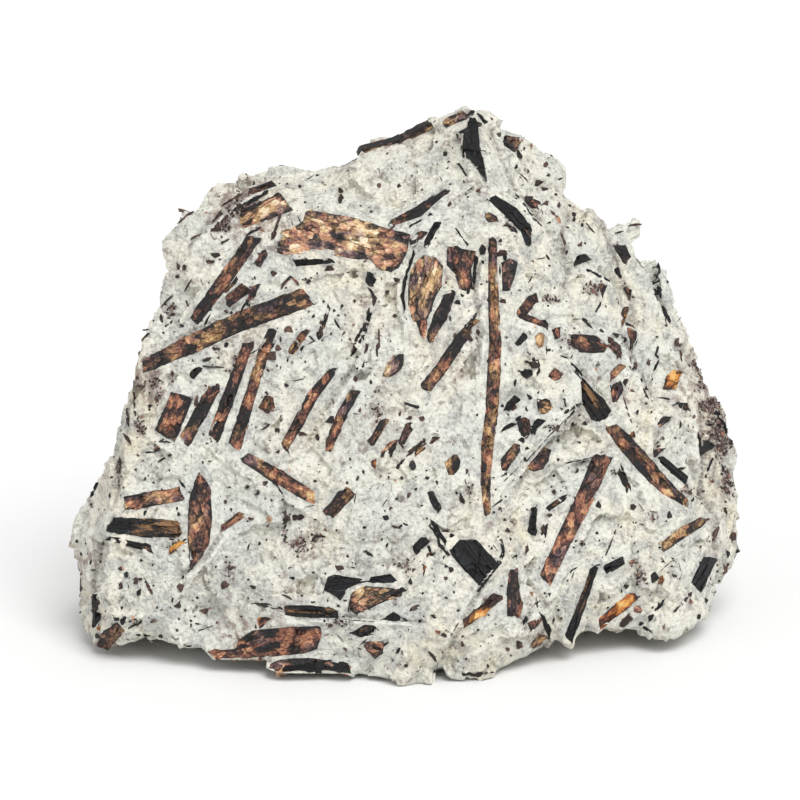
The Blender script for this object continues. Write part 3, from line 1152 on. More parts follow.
# %% Glints read off the front
# u, v, radius, how much lighter, how much more golden.
GLINTS = np.array([
    # the upper left
    (-22,46.3,1.2,.34,.2),(-20.2,50,1.2,-.2,-.3),(-26,41,1.5,-.12,-.6),(-15.5,53.9,.7,.3,.2),
    (-17.5,53,1.2,.15,.6),(-28,35.5,1.8,.12,-.6),(-29,35,.7,.18,.9),(-30.5,34.3,.7,-.35,0),
    (-31.5,33.2,.8,.15,0),(-24,36.5,1.6,.1,.5),(-26.3,36.1,.3,-.9,0),(-20.5,38.3,1.6,-.25,0),
    (-17.8,39.5,1.5,-.12,.3),(-14.5,41,2,-.1,.5),
    # the copper plate
    (-10.5,52.2,.8,.1,-1.2),(-12.5,48.7,.9,.12,-1.3),(-9.7,48,.8,.1,-1),(-2.2,47.2,1,.1,-1.2),
    (-5.5,49.7,2,.22,.8),(-6.8,48.4,1.3,.28,.3),(-9.2,50.8,.9,.12,-.2),(-.5,49.8,.7,-.3,-.5),
    (-.2,46,.9,-.3,-.5),(-5.8,47.9,.9,-.22,-.5),(-12,50.3,.6,-.25,-.3),(-1.2,45.8,.7,-.35,0),
    (-8.1,49.6,.3,-.6,0),(-8.6,48.3,.3,-.6,0),(-9.2,51.7,.3,-.5,0),(1.5,52.3,1,-.9,0),
    (4,54.2,1.2,-.6,0),(-1.8,47.4,1.6,-.16,0),
    # the fan at the left
    (-28.3,29.2,1,.3,-.3),(-28.5,26.8,1.4,.06,-1),(-30.3,26,.8,.34,-.2),(-29.3,27.8,.5,-.3,0),
    (-27.6,28.3,.5,-.3,0),(-26,27.5,1.2,-.15,.6),(-27.7,24.2,.8,.4,-.2),(-22,29,2,-.06,-1),
    (-17.9,34.5,1.2,.36,.4),(-18.3,32.3,1,.32,.5),(-19.8,29.8,1.2,.26,.4),(-16.8,36.8,.9,.02,-1),
    (-20.9,23.6,.9,.28,-.5),(-20,27,1,-.1,0),(-16.3,27.7,.4,.4,.5),
    # left of the centre
    (-9,32.8,.8,-.25,-.6),(-11,30,1.6,.14,-.3),(-13,27.5,1.2,-.08,-.6),(-14.4,24.2,1.1,.42,.2),
    (-6.8,29.8,.9,-.02,.3),(-8.2,28,.8,.34,.9),(-8.5,25.8,.8,.14,-.4),(-9,24.2,.7,0,-1),
    (-9.2,23.2,.5,.34,0),(-1.2,33.4,.9,.2,.6),(-.4,34.7,.4,-.7,0),(-12.5,36.8,.5,.35,-.3),
    (-34.5,16.5,.8,.26,-.6),(-33,16.5,.8,-.2,-1),(-31.9,17,.5,.4,1),(-31.4,16.4,.5,-.4,-.5),
    (-30.7,17.2,.7,.34,1),(-29,17,1.3,.26,-.5),(-27.2,17.6,.6,-.2,.3),(-35.5,14,1.8,-.15,-1),
    (-32.1,13.3,.35,.7,.5),(-31.4,13.2,.3,.6,.3),(-33,12.7,.8,.25,.6),(-28.3,13.8,1.3,.45,.8),
    (-27.2,14,.7,.5,1),(-31.9,10.6,.5,.5,.4),(-25.2,19.3,.8,.18,.6),(-24,17,1,-.08,-1),
    (-25,14.6,1.3,.22,0),(-25.8,12.5,.9,0,-1),(-25.5,11,.6,.3,-.4),(-24.4,11.5,.4,.12,1),
    (-26,9.5,1,-.05,-.3),(-23.8,13.5,.5,-.45,0),(-28.2,13.1,2,.42,1.2),(-32.3,13.2,2.4,.2,1),
    # the ladder and the block under it
    (-18,21.7,.8,.32,.8),(-16.8,21.3,.45,-.8,0),(-16.2,20.7,.5,.14,-1),(-16.8,19.9,.4,.38,.2),
    (-15.5,20.5,.35,-.9,0),(-15,19.7,.6,.12,-1),(-14.2,19.4,.35,-.9,0),(-14.4,20.3,.5,-.6,0),
    (-13.6,19,.2,-.8,0),(-13,18.5,1.2,.2,-.8),(-11.2,17,.8,.48,.9),(-8,16.4,1.5,-.14,-.2),
    (-9,15.2,.7,.06,.2),
    # the centre
    (4.3,45.5,.9,.18,-.3),(1.4,41.5,.6,-.4,0),(2.5,43.5,.9,.12,.6),(3.2,47.5,.8,-.1,.6),
    (2.9,37.3,.6,.55,-.4),(6.5,47.3,1.2,-.06,-.8),(7.3,44.9,.7,.3,.4),(7.2,43.4,.5,.18,.5),
    (8,42.8,.4,-.5,0),(5.7,45.8,.4,-.5,0),(5,41.5,1,-.12,-.8),(6.4,37.2,.7,-.45,0),(5.2,35.4,.6,-.4,0),
    (6.9,35.9,.6,.14,-.1),(11,41,.6,.24,.8),(11.3,39.7,.4,.34,.2),(11,34.3,.8,.12,-.5),
    (11,46.5,1.6,-.06,-.8),(11,37,.8,-.1,-.6),(10.7,25.5,.9,.18,.7),(10.5,22.5,.9,.06,-.8),
    (11,30,1,-.04,-.8),(10.2,16.5,1.2,.36,.8),(12.4,45.5,.5,.18,-.8),(13.6,45.8,.7,.12,.8),
    (15.9,41.5,.4,.25,.4),(17,38.7,.7,.12,-.8),(16.9,36.8,.9,.5,1),(10.2,53,1,.2,-.6),
    (15.6,49.6,1.2,.4,.3),
    # the right
    (23.4,30,.45,.9,1.6),(23.9,29.1,.45,.9,1.6),(26,26,.9,.28,0),(27,23.7,1,.12,-.3),
    (28,22.3,.8,-.25,0),(29,20.8,.8,-.2,0),(31,19.2,1,0,-.8),(32.6,17.6,.6,.7,.4),
    (25.3,21.8,1,-.06,-.5),(23.8,19,1,.05,-.3),(21.8,14.6,1.2,.22,-.6),(20.9,12.4,.9,.25,.5),
    (18.9,10.6,1.1,.14,-1.2),(20,11.4,.6,.2,.3),(17.7,8,.8,0,-1),(18.6,7.6,.6,.24,.9),
    (33.7,32,.9,.25,0),(32.4,30.4,.8,-.45,0),(37.5,14.6,.8,.22,-.8),(34.5,12.5,1,.08,.4),
    (33,11,.8,.06,.8),(35.9,14.2,.4,-.4,0),(37.3,7.4,1.2,-.1,-.6),
    # the bottom
    (11,8.7,.5,.45,.6),(22.8,5.5,1,.14,.9),(21.3,1.5,1.2,-.02,-.6),(22.4,3.8,2.6,.26,.8),
    (25.3,1.8,1,-.02,-.8),(27.4,3.7,1,.34,-.1),(28.4,4.8,.6,.12,-1),(11,4.4,.8,-.6,0),
    (10.6,4,.35,.9,.3),(9.6,2.5,.8,.5,.1),(8,1.3,.6,-.15,.3),(8.4,1.8,.3,-.5,0),(-7.2,4.7,.4,.6,.8),
    (-5.5,5.6,1.2,.28,.6),(-6,4,.9,.16,-.2),(-5,2.6,.7,-.2,-.5),(-18.3,3.6,.7,.4,.8),(-16,3.5,.8,.7,1),
    (-14.8,3,.4,.35,.5),(-13.7,3,.6,.5,1),(-11.8,3.1,1,-.3,-.5),(-9.2,2.6,1.2,.25,.2),(-18.4,0,.5,.3,1),
    (-17.6,-.7,.4,.35,1),(-12.5,-.5,.7,.28,.4),(-12,-1.8,.6,.38,.2),(-10.6,.8,.7,.16,-1),
    (-14,-1.3,.7,-.12,-1),(-19.3,.2,.3,-1.2,0),(-19.4,-.6,.32,-1.2,0),(-19.6,-1.6,.3,-1.2,0),
    (-16.7,.5,.35,-1.2,0),(-16.9,-.5,.38,-1.2,0),(-17.2,-1.6,.35,-1.2,0),(-20.3,-1,.7,.28,.2),
    (-15.5,-3.8,1.2,.3,-.2),(-12.5,-3.4,1.4,-.6,0),(-4,-.6,.6,.4,.9),(17.1,29,.7,-.5,0),
    (18.3,28,.6,.6,.2),(6.7,21.2,.7,-.5,0),(5.4,21,.6,.4,.8),(27.4,47.6,1.2,-.25,-.6),
    (-36.2,.2,.8,.2,.6),(-37.3,-1.2,.8,-.1,.2),
])


def glints_at(places):
    """How much lighter and more golden the crystals are at each place, by hand on the front."""
    apart = ((seen_at(places)[:, None] - GLINTS[:, :2]) ** 2).sum(axis=2)
    front = (np.asarray(places)[:, 1] < FRONT_DEPTH)[:, None]
    return (np.exp(-apart / GLINTS[:, 2] ** 2) * front) @ GLINTS[:, 3:]


print("glints:", len(GLINTS))

# %% [markdown]
# ## Flaky crystals
#
# A blade of astrophyllite is a stack of thin leaves, and where it is broken each leaf ends
# at its own place. Seen from above that is a patchwork of long flakes with cracks between them.
# A bump map could draw the cracks, but not the uneven rim. So each outline is cut into cells
# stretched along the blade, and every cell is a small slab with its own height, tilt and tone.

# %% Cut an outline into flakes
SEED_JITTER = 0.42
EDGE_STEP = 0.6


def clipped(corners, place, way):
    """The part of a polygon that's behind a line through a place, square to a direction."""
    kept = []
    for a, b in zip(corners, corners[1:] + corners[:1]):
        da, db = (a - place).dot(way), (b - place).dot(way)
        if da <= 0.0:
            kept.append(a)
        if da * db < 0.0:
            kept.append(a + (b - a) * (da / (da - db)))
    return kept


def flakes(outline, size, stretch, dice):
    """A flat outline cut into cells of this width, this many times as long as wide."""
    squeezed = [Vector((place[0] / stretch, place[1])) for place in outline]
    low = [min(place[i] for place in squeezed) - size for i in range(2)]
    high = [max(place[i] for place in squeezed) + size for i in range(2)]
    seeds = {}
    for i in range(int((high[0] - low[0]) / size) + 2):
        for j in range(int((high[1] - low[1]) / size) + 2):
            x = low[0] + size * (i + dice.uniform(-SEED_JITTER, SEED_JITTER) + 0.5 * (j % 2))
            y = low[1] + size * (j + dice.uniform(-SEED_JITTER, SEED_JITTER))
            seeds[i, j] = Vector((x, y))
    for (i, j), seed in seeds.items():
        cell = squeezed
        for di in range(-3, 4):
            for dj in range(-2, 3):
                other = seeds.get((i + di, j + dj))
                if other is None or other is seed or len(cell) < 3:
                    continue
                cell = clipped(cell, (seed + other) / 2, other - seed)
        if len(cell) >= 3:
            yield [Vector((place.x * stretch, place.y)) for place in cell]


def ragged(flat, dice, side, end):
    """A flat ring with points added along its edges and moved about a little."""
    corners = [Vector(place[:2]) for place in flat]
    reach = max(abs(corner.x) for corner in corners)
    made = []
    for a, b in zip(corners, corners[1:] + corners[:1]):
        along = b - a
        steps = max(1, round(along.length / EDGE_STEP))
        across = Vector((-along.y, along.x)).normalized()
        for step in range(steps):
            place = a + along * ((step + (dice.uniform(-0.25, 0.25) if step else 0.0)) / steps)
            loose = end if abs(place.x) > reach - 0.8 else side
            made.append(place + across * dice.gauss(0.0, loose))
    return made


example = [Vector(corner) for corner in ((0, 0), (6, 0), (6, 2), (0, 2))]
print("flakes in a 6 x 2 mm outline:", len(list(flakes(example, 0.7, 1.6, random.Random(0)))))

# %% Build the slabs
SMALLEST_FLAKE = 0.012
SHADE_RANGE = 2.4
RIM_WIDTH = 0.13
BEVEL = 0.025


def layer(kind, name):
    """A named value of a bmesh's corners, made when it's first asked for."""
    return kind.get(name) or kind.new(name)


def add_flakes(shape, form, dice, size, stretch, look=(0.0, 0.0), crack=0.012, rough=0.04,
               chipped=0.12, tilt=0.05, sunk=0.0, wall=1.0, side=0.06, end=0.16, rim=0.9):
    """Adds a crystal's flakes to a mesh, with the lie, shade and hue of every corner."""
    dark_side = dice.choice((-1.0, 1.0))
    lie = layer(shape.verts.layers.float_vector, "lie")
    tone = layer(shape.verts.layers.float, "shade")
    warm = layer(shape.verts.layers.float, "hue")
    offset = Vector((dice.uniform(0, 90), dice.uniform(0, 90), dice.uniform(0, 90)))
    outline = ragged(form.flat, dice, side, end)
    for cell in flakes(outline, size, stretch, dice):
        flat = np.array(cell)
        area = abs(np.cross(flat, np.roll(flat, -1, axis=0)).sum()) / 2
        if area < SMALLEST_FLAKE:
            continue
        middle = flat.mean(axis=0)
        reach = np.maximum(np.linalg.norm(flat - middle, axis=1), 1e-6)[:, None]
        lift = dice.gauss(0.0, rough) - sunk
        if dice.random() < chipped:
            lift -= dice.uniform(0.12, 0.35)
        lean = np.array([dice.gauss(0.0, tilt) * 0.3, dice.gauss(0.0, tilt)])
        flake = dice.random() + look[0] * SHADE_RANGE
        patch = dice.gauss(0.0, 0.35)
        rings = []
        for inset, drop in ((crack / 2, wall), (crack / 2, 0.03), (crack / 2 + BEVEL, 0.0)):
            ring = middle + (flat - middle) * np.maximum(1.0 - inset / reach, 0.2)
            top = form.heights(ring)[0] + lift + (ring - middle) @ lean - drop
            spots = np.column_stack([ring, top])
            onto = form.world(spots)
            dark = rim * np.where(ring[:, 1] * dark_side > 0.0, 1.0, 0.35)
            dark *= np.exp(-to_edge(form.flat, ring)[1] / RIM_WIDTH)
            verts = []
            for spot, place, glint, edge in zip(spots, onto, glints_at(onto), dark):
                vertex = shape.verts.new(place)
                vertex[lie] = Vector(spot) + offset
                vertex[tone] = flake + glint[0] * SHADE_RANGE - edge
                vertex[warm] = look[1] + glint[1] + patch
                verts.append(vertex)
            rings.append(verts)
        count = len(cell)
        for lower, upper in zip(rings, rings[1:]):
            for i in range(count):
                j = (i + 1) % count
                shape.faces.new((lower[i], lower[j], upper[j], upper[i]))
        shape.faces.new(rings[-1])


def closed(shape):
    """Makes every flake's faces look outwards."""
    bmesh.ops.recalc_face_normals(shape, faces=shape.faces)
    return shape


trial = bmesh.new()
add_flakes(trial, crystals["centre_block"], random.Random(0), size=0.7, stretch=1.6)
print("faces of a trial on the centre block:", len(trial.faces))
trial.free()

# %% [markdown]
# ## Dress the crystals
#
# Aegirine breaks into long splinters, astrophyllite into broader leaves, and the golden plates
# have fallen into fine chips. Each mineral has a style for that, and each crystal a look of its
# own: how much lighter, and how much more golden than red, it is than its mineral usually is.

# %% Dress the large crystals
STYLES = {
    BRONZE: dict(size=0.70, stretch=1.6, crack=0.006, rough=0.03, chipped=0.06),
    COPPER: dict(size=0.80, stretch=1.3, crack=0.006, rough=0.03, chipped=0.06),
    BLACK: dict(size=0.45, stretch=7.0, chipped=0.06, rim=0.5),
    AMBER: dict(size=0.60, stretch=2.0, chipped=0.06, rim=1.0),
}
CHIPS = dict(size=0.40, stretch=2.6, rough=0.06)
IN_CHIPS = {"golden_plate", "lower_gold_plate", "apex_gold_plate", "gold_chip"}
LOOKS = {
    "long_left_blade": (0,.2), "upper_left_blade": (-.1,-.3), "fan_plate": (-.09,-.6),
    "fan_blade_outer": (-.08,-.2), "fan_blade_middle": (-.06,-.5), "fan_blade_inner": (-.1,-.1),
    "ladder_blade": (.04,-.1), "left_bar_upper": (-.04,0), "left_pointed_blade": (-.08,-.3),
    "centre_block": (-.08,-.1), "centre_blade_left": (-.1,-.4), "centre_blade_right": (.02,.1),
    "dark_side_blade": (-.1,-.2), "trapezoid_block": (.04,-.4), "long_upright_blade": (.06,.1),
    "slanting_blade": (-.06,.1), "angled_pair": (-.06,-.3), "mottled_bar": (-.06,-.4),
    "lower_right_blade": (-.03,.1), "right_long_blade": (.01,-.6), "bottom_short_blade": (0,-.7),
    "right_short_blade": (0,.2), "bottom_plate": (.02,-.8), "brown_orange_block": (.02,.1),
    "copper_plate": (.1,0), "golden_plate": (.08,.3), "gold_chip": (.02,.8), "lower_gold_plate": (-.06,.1),
    "bottom_foot": (-.08,-.4), "apex_gold_plate": (.08,.7), "upright_side_patch": (-.14,-.3),
    "corner_plate": (0,.2), "top_edge_blade": (.02,-.5), "orange_crystal": (.08,.3),
    "orange_black_blade": (-.08,0), "bottom_orange_blade": (-.1,-.4), "black_block": (-.08,-1.5),
    "black_mass": (-.04,-1.2), "dark_wedge": (0,.5), "black_parallel_blade": (-.04,-1.5),
    "upper_right_blade": (-.06,-1), "right_edge_plate": (-.1,-.5), "left_bar_lower": (-.02,-.2),
    "bottom_left_bar": (0,.2), "bottom_thin_blade": (-.06,0),
}


def mineral_of(name):
    """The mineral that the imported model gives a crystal."""
    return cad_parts[name].data.materials[0].name.split(".")[0]


for number, (name, form) in enumerate(sorted(crystals.items())):
    mineral = mineral_of(name)
    shape = bmesh.new()
    look = LOOKS.get(name, (0.0, 0.0))
    style = dict(STYLES[mineral], **(CHIPS if name in IN_CHIPS else {}))
    add_flakes(shape, form, random.Random(number), look=look, sunk=0.2, **style)
    piece = add_mesh(name + "_flakes", closed(shape), MINERALS[mineral])
    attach(piece, "root")
    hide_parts(name)
print("crystals dressed:", len(crystals))

# %% Dress the small crystals
SMALL_STYLE = dict(size=0.45, stretch=2.5)
for mineral in MINERALS:
    shape = bmesh.new()
    for number, (kind, form) in enumerate(small_crystals):
        if kind == mineral and form:
            lighter = random.Random(number).uniform(-0.12, 0.08)
            golden = random.Random(number + 7).uniform(-0.7, 0.7)
            style = dict(STYLES[mineral], **SMALL_STYLE)
            add_flakes(shape, form, random.Random(number + 500), look=(lighter, golden), wall=1.4, **style)
    piece = add_mesh("small_" + mineral, closed(shape), MINERALS[mineral])
    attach(piece, "root")
print("small crystals dressed:", sum(form is not None for _, form in small_crystals))

# %% [markdown]
# ## Slivers and needles
#
# Between the larger crystals the rock is full of thin splinters and of black needles. The ones
# that catch the eye are placed one by one. They're thin bodies let into the finished surface,
# the way the real ones are half buried in the feldspar.

# %% Slivers placed one by one
# The mineral, the outline, and how proud it stands where that isn't 0.12 mm.
SLIVERS = [
    (BRONZE, lath([(-15.3,43.4,.4),(-14.1,44.7,.4),(-13.2,43.8,.3)])),
    (BRONZE, lath([(-19.6,41.2,.8),(-18.4,43.7,.7)])),
    (BLACK, lath([(-4.3,43.2,.4),(-3.6,42,.45),(-4.1,40.5,.4)])),
    (BLACK, lath([(-5.3,36.8,.4),(-6.5,34.8,.3)])), (BRONZE, lath([(-9.3,41,.5),(-10.2,38,.4)])),
    (BLACK, lath([(.6,51.3,1.1),(3,52.8,1.1)])), (BLACK, lath([(2.4,53.2,.35),(5.2,55.1,.35)], .1, -.1)),
    (BRONZE, lath([(.8,48.7,1),(2.5,50.3,.9)])),
    (BLACK, [(8.5,65.4),(8,63.4),(8.6,62.9),(9.3,63.3),(9,64.4)], .3),
    (BLACK, [(8.1,63.7),(7.4,61.6),(7.3,60.4),(9.6,60),(9.3,63.4)], .65),
    (BLACK, [(7.3,60.9),(7.2,59.6),(8.3,59.2),(9.2,58),(10.2,56.7),(10.2,58),(9.6,60.4)], .3),
    (BRONZE, [(34,39.2),(36,38.3),(35.7,37.5),(34.3,36.2)]),
    (BRONZE, [(-23,42.9),(-22.6,43.5),(-21,45.2),(-20.8,44.4),(-22.2,42.6)]),
    (BLACK, lath([(6.5,50.8,.3),(8,48.6,.3)], .1, -.1)), (COPPER, lath([(-31.2,23.2,.9),(-29.6,24.2,.9)])),
    (BLACK, lath([(-37.1,12,.6),(-31.5,10.6,.9)])), (AMBER, lath([(-29.3,10.4,.8),(-27.6,11.6,.7)])),
    (COPPER, lath([(-17,13.8,.7),(-14.5,14.6,.6)])), (BLACK, lath([(-11.5,11.8,.5),(-9.9,12.3,.4)])),
    (BRONZE, lath([(1.4,22.6,.7),(4.2,24.7,.6)])), (COPPER, lath([(-2.9,22.2,.7),(-1.1,24.2,.6)])),
    (BLACK, lath([(-25.2,33.5,.2),(-22.2,33.3,.15)], .05, -.05)),
    (BLACK, lath([(1.3,47.8,.4),(.1,44.2,.4),(-.2,42.3,.4),(.1,40.5,.3)])),
    (BLACK, lath([(9,47.3,.3),(8.7,43.5,.25)], .1, -.1)), (BRONZE, lath([(16,34,.8),(16.8,32.5,.8)])),
    (BLACK, [(19.6,34.9),(20.4,34.5),(21.9,32.9),(22,31.9)]), (BRONZE, lath([(27,20.5,.4),(28,18,.4)])),
    (BLACK, lath([(30.6,1.8,.5),(32.4,4.2,.5)])), (BLACK, lath([(3.5,14.2,.3),(5.2,11.2,.5)])),
    (BLACK, lath([(11.5,8.6,.3),(12.4,10.4,.3),(12.1,11.5,.2)], .1, -.1)),
    (AMBER, lath([(2.4,7.6,.4),(3.2,10.2,.4)])), (BLACK, lath([(-18.9,3.8,.3),(-15.3,3.3,.5)])),
    (BRONZE, lath([(-18.1,1.2,.8),(-17,2,.8)])), (BLACK, lath([(14.9,1.4,.4),(16.7,4.1,.4)])),
    (BRONZE, lath([(15.7,.8,.9),(16.8,1.8,.8)])), (BRONZE, lath([(16,-1.4,.8),(17.6,-.2,.9)])),
    (BLACK, lath([(17.2,2.5,.4),(18.3,-.2,.6)])), (COPPER, lath([(-5.6,60.2,.6),(-1,61.4,.7),(4.3,64,.7)])),
    (BLACK, lath([(-7.4,59,.5),(-2.8,60.7,.5)])), (BRONZE, lath([(15.5,54.3,.8),(16.8,53.4,.8)])),
    (BRONZE, [(27.2,43.7),(28.5,43),(28.2,41.6)]), (AMBER, lath([(27.2,39,.6),(27.9,41,.7)])),
    (BRONZE, lath([(25.6,36.2,.7),(27.2,34.8,.7)])), (COPPER, lath([(28.7,50.2,.8),(29.6,49,.8)])),
    (BLACK, lath([(31.8,46,.3),(32,42.5,.3)], .1, -.1)),
    (BLACK, lath([(32.3,41,.3),(33.3,38.9,.3)], .1, -.1)), (BLACK, [(36.7,24.9),(39,23.6),(37,22.2)]),
    (BRONZE, lath([(31.2,22.6,1),(32.2,23.4,1)])), (BLACK, lath([(17.4,12.3,.6),(17.7,13.6,.5)])),
    (BLACK, lath([(15.8,25.4,.8),(17.2,26.8,.9)])), (BLACK, lath([(12.2,25.5,.4),(13.8,26.3,.5)])),
    (BLACK, lath([(-38.8,5,.3),(-38.6,.8,.4)], .1, -.1)), (COPPER, lath([(-4,3.6,.6),(0,5.8,.6)], .1, -.1)),
    (BLACK, lath([(-14.9,-4.35,.8),(-12,-4.3,1),(-10.6,-4.2,1)]), .5),
    (BLACK, lath([(-11,-4.2,1),(-9.2,-4,1.1),(-6.8,-4.4,.9)]), .5),
    (BRONZE, lath([(-23.6,-2.6,.35),(-17.8,-2.75,.4)], .1, -.1)),
    (BLACK, [(14.2,32.9),(16.2,34.6),(16.6,33.4),(15.6,32)]),
    (BLACK, lath([(10,25.6,.3),(12.2,27.6,.5),(14.4,29.4,.4)], .1, -.1)),
    (BRONZE, [(27.6,39),(28.6,38.6),(29.2,36.4),(28.4,35.6)]),
    (BRONZE, [(1.5,39.3),(2.9,39.3),(2.9,38.2),(2.6,36.9),(2,37.4)], .2),
]
PROUD = 0.12

by_mineral = {mineral: bmesh.new() for mineral in MINERALS}
missed = []
for number, (mineral, outline, *given) in enumerate(SLIVERS):
    form = laid(SURFACE, "front", outline, given[0] if given else PROUD)
    if form is None:
        missed.append(outline[0])
        continue
    style = dict(STYLES[mineral], size=max(0.25, form.breadth * 0.4), stretch=2.5, rough=0.03)
    dice = random.Random(number + 900)
    look = (dice.uniform(-0.12, 0.06), dice.uniform(-0.7, 0.7))
    add_flakes(by_mineral[mineral], form, dice, look=look, wall=0.8, end=0.05, **style)
for mineral, shape in by_mineral.items():
    piece = add_mesh("slivers_" + mineral, closed(shape), MINERALS[mineral])
    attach(piece, "root")
print("slivers:", len(SLIVERS) - len(missed), "missed:", missed)

# %% [markdown]
# ## Crumbs
#
# Brown and black crumbs are part of the rock's character: strings of them follow the ledges and
# the ends of the blades. A particle system would spread them evenly. These are read off the
# front one by one instead, and a small many-sided lump is let into the surface there.

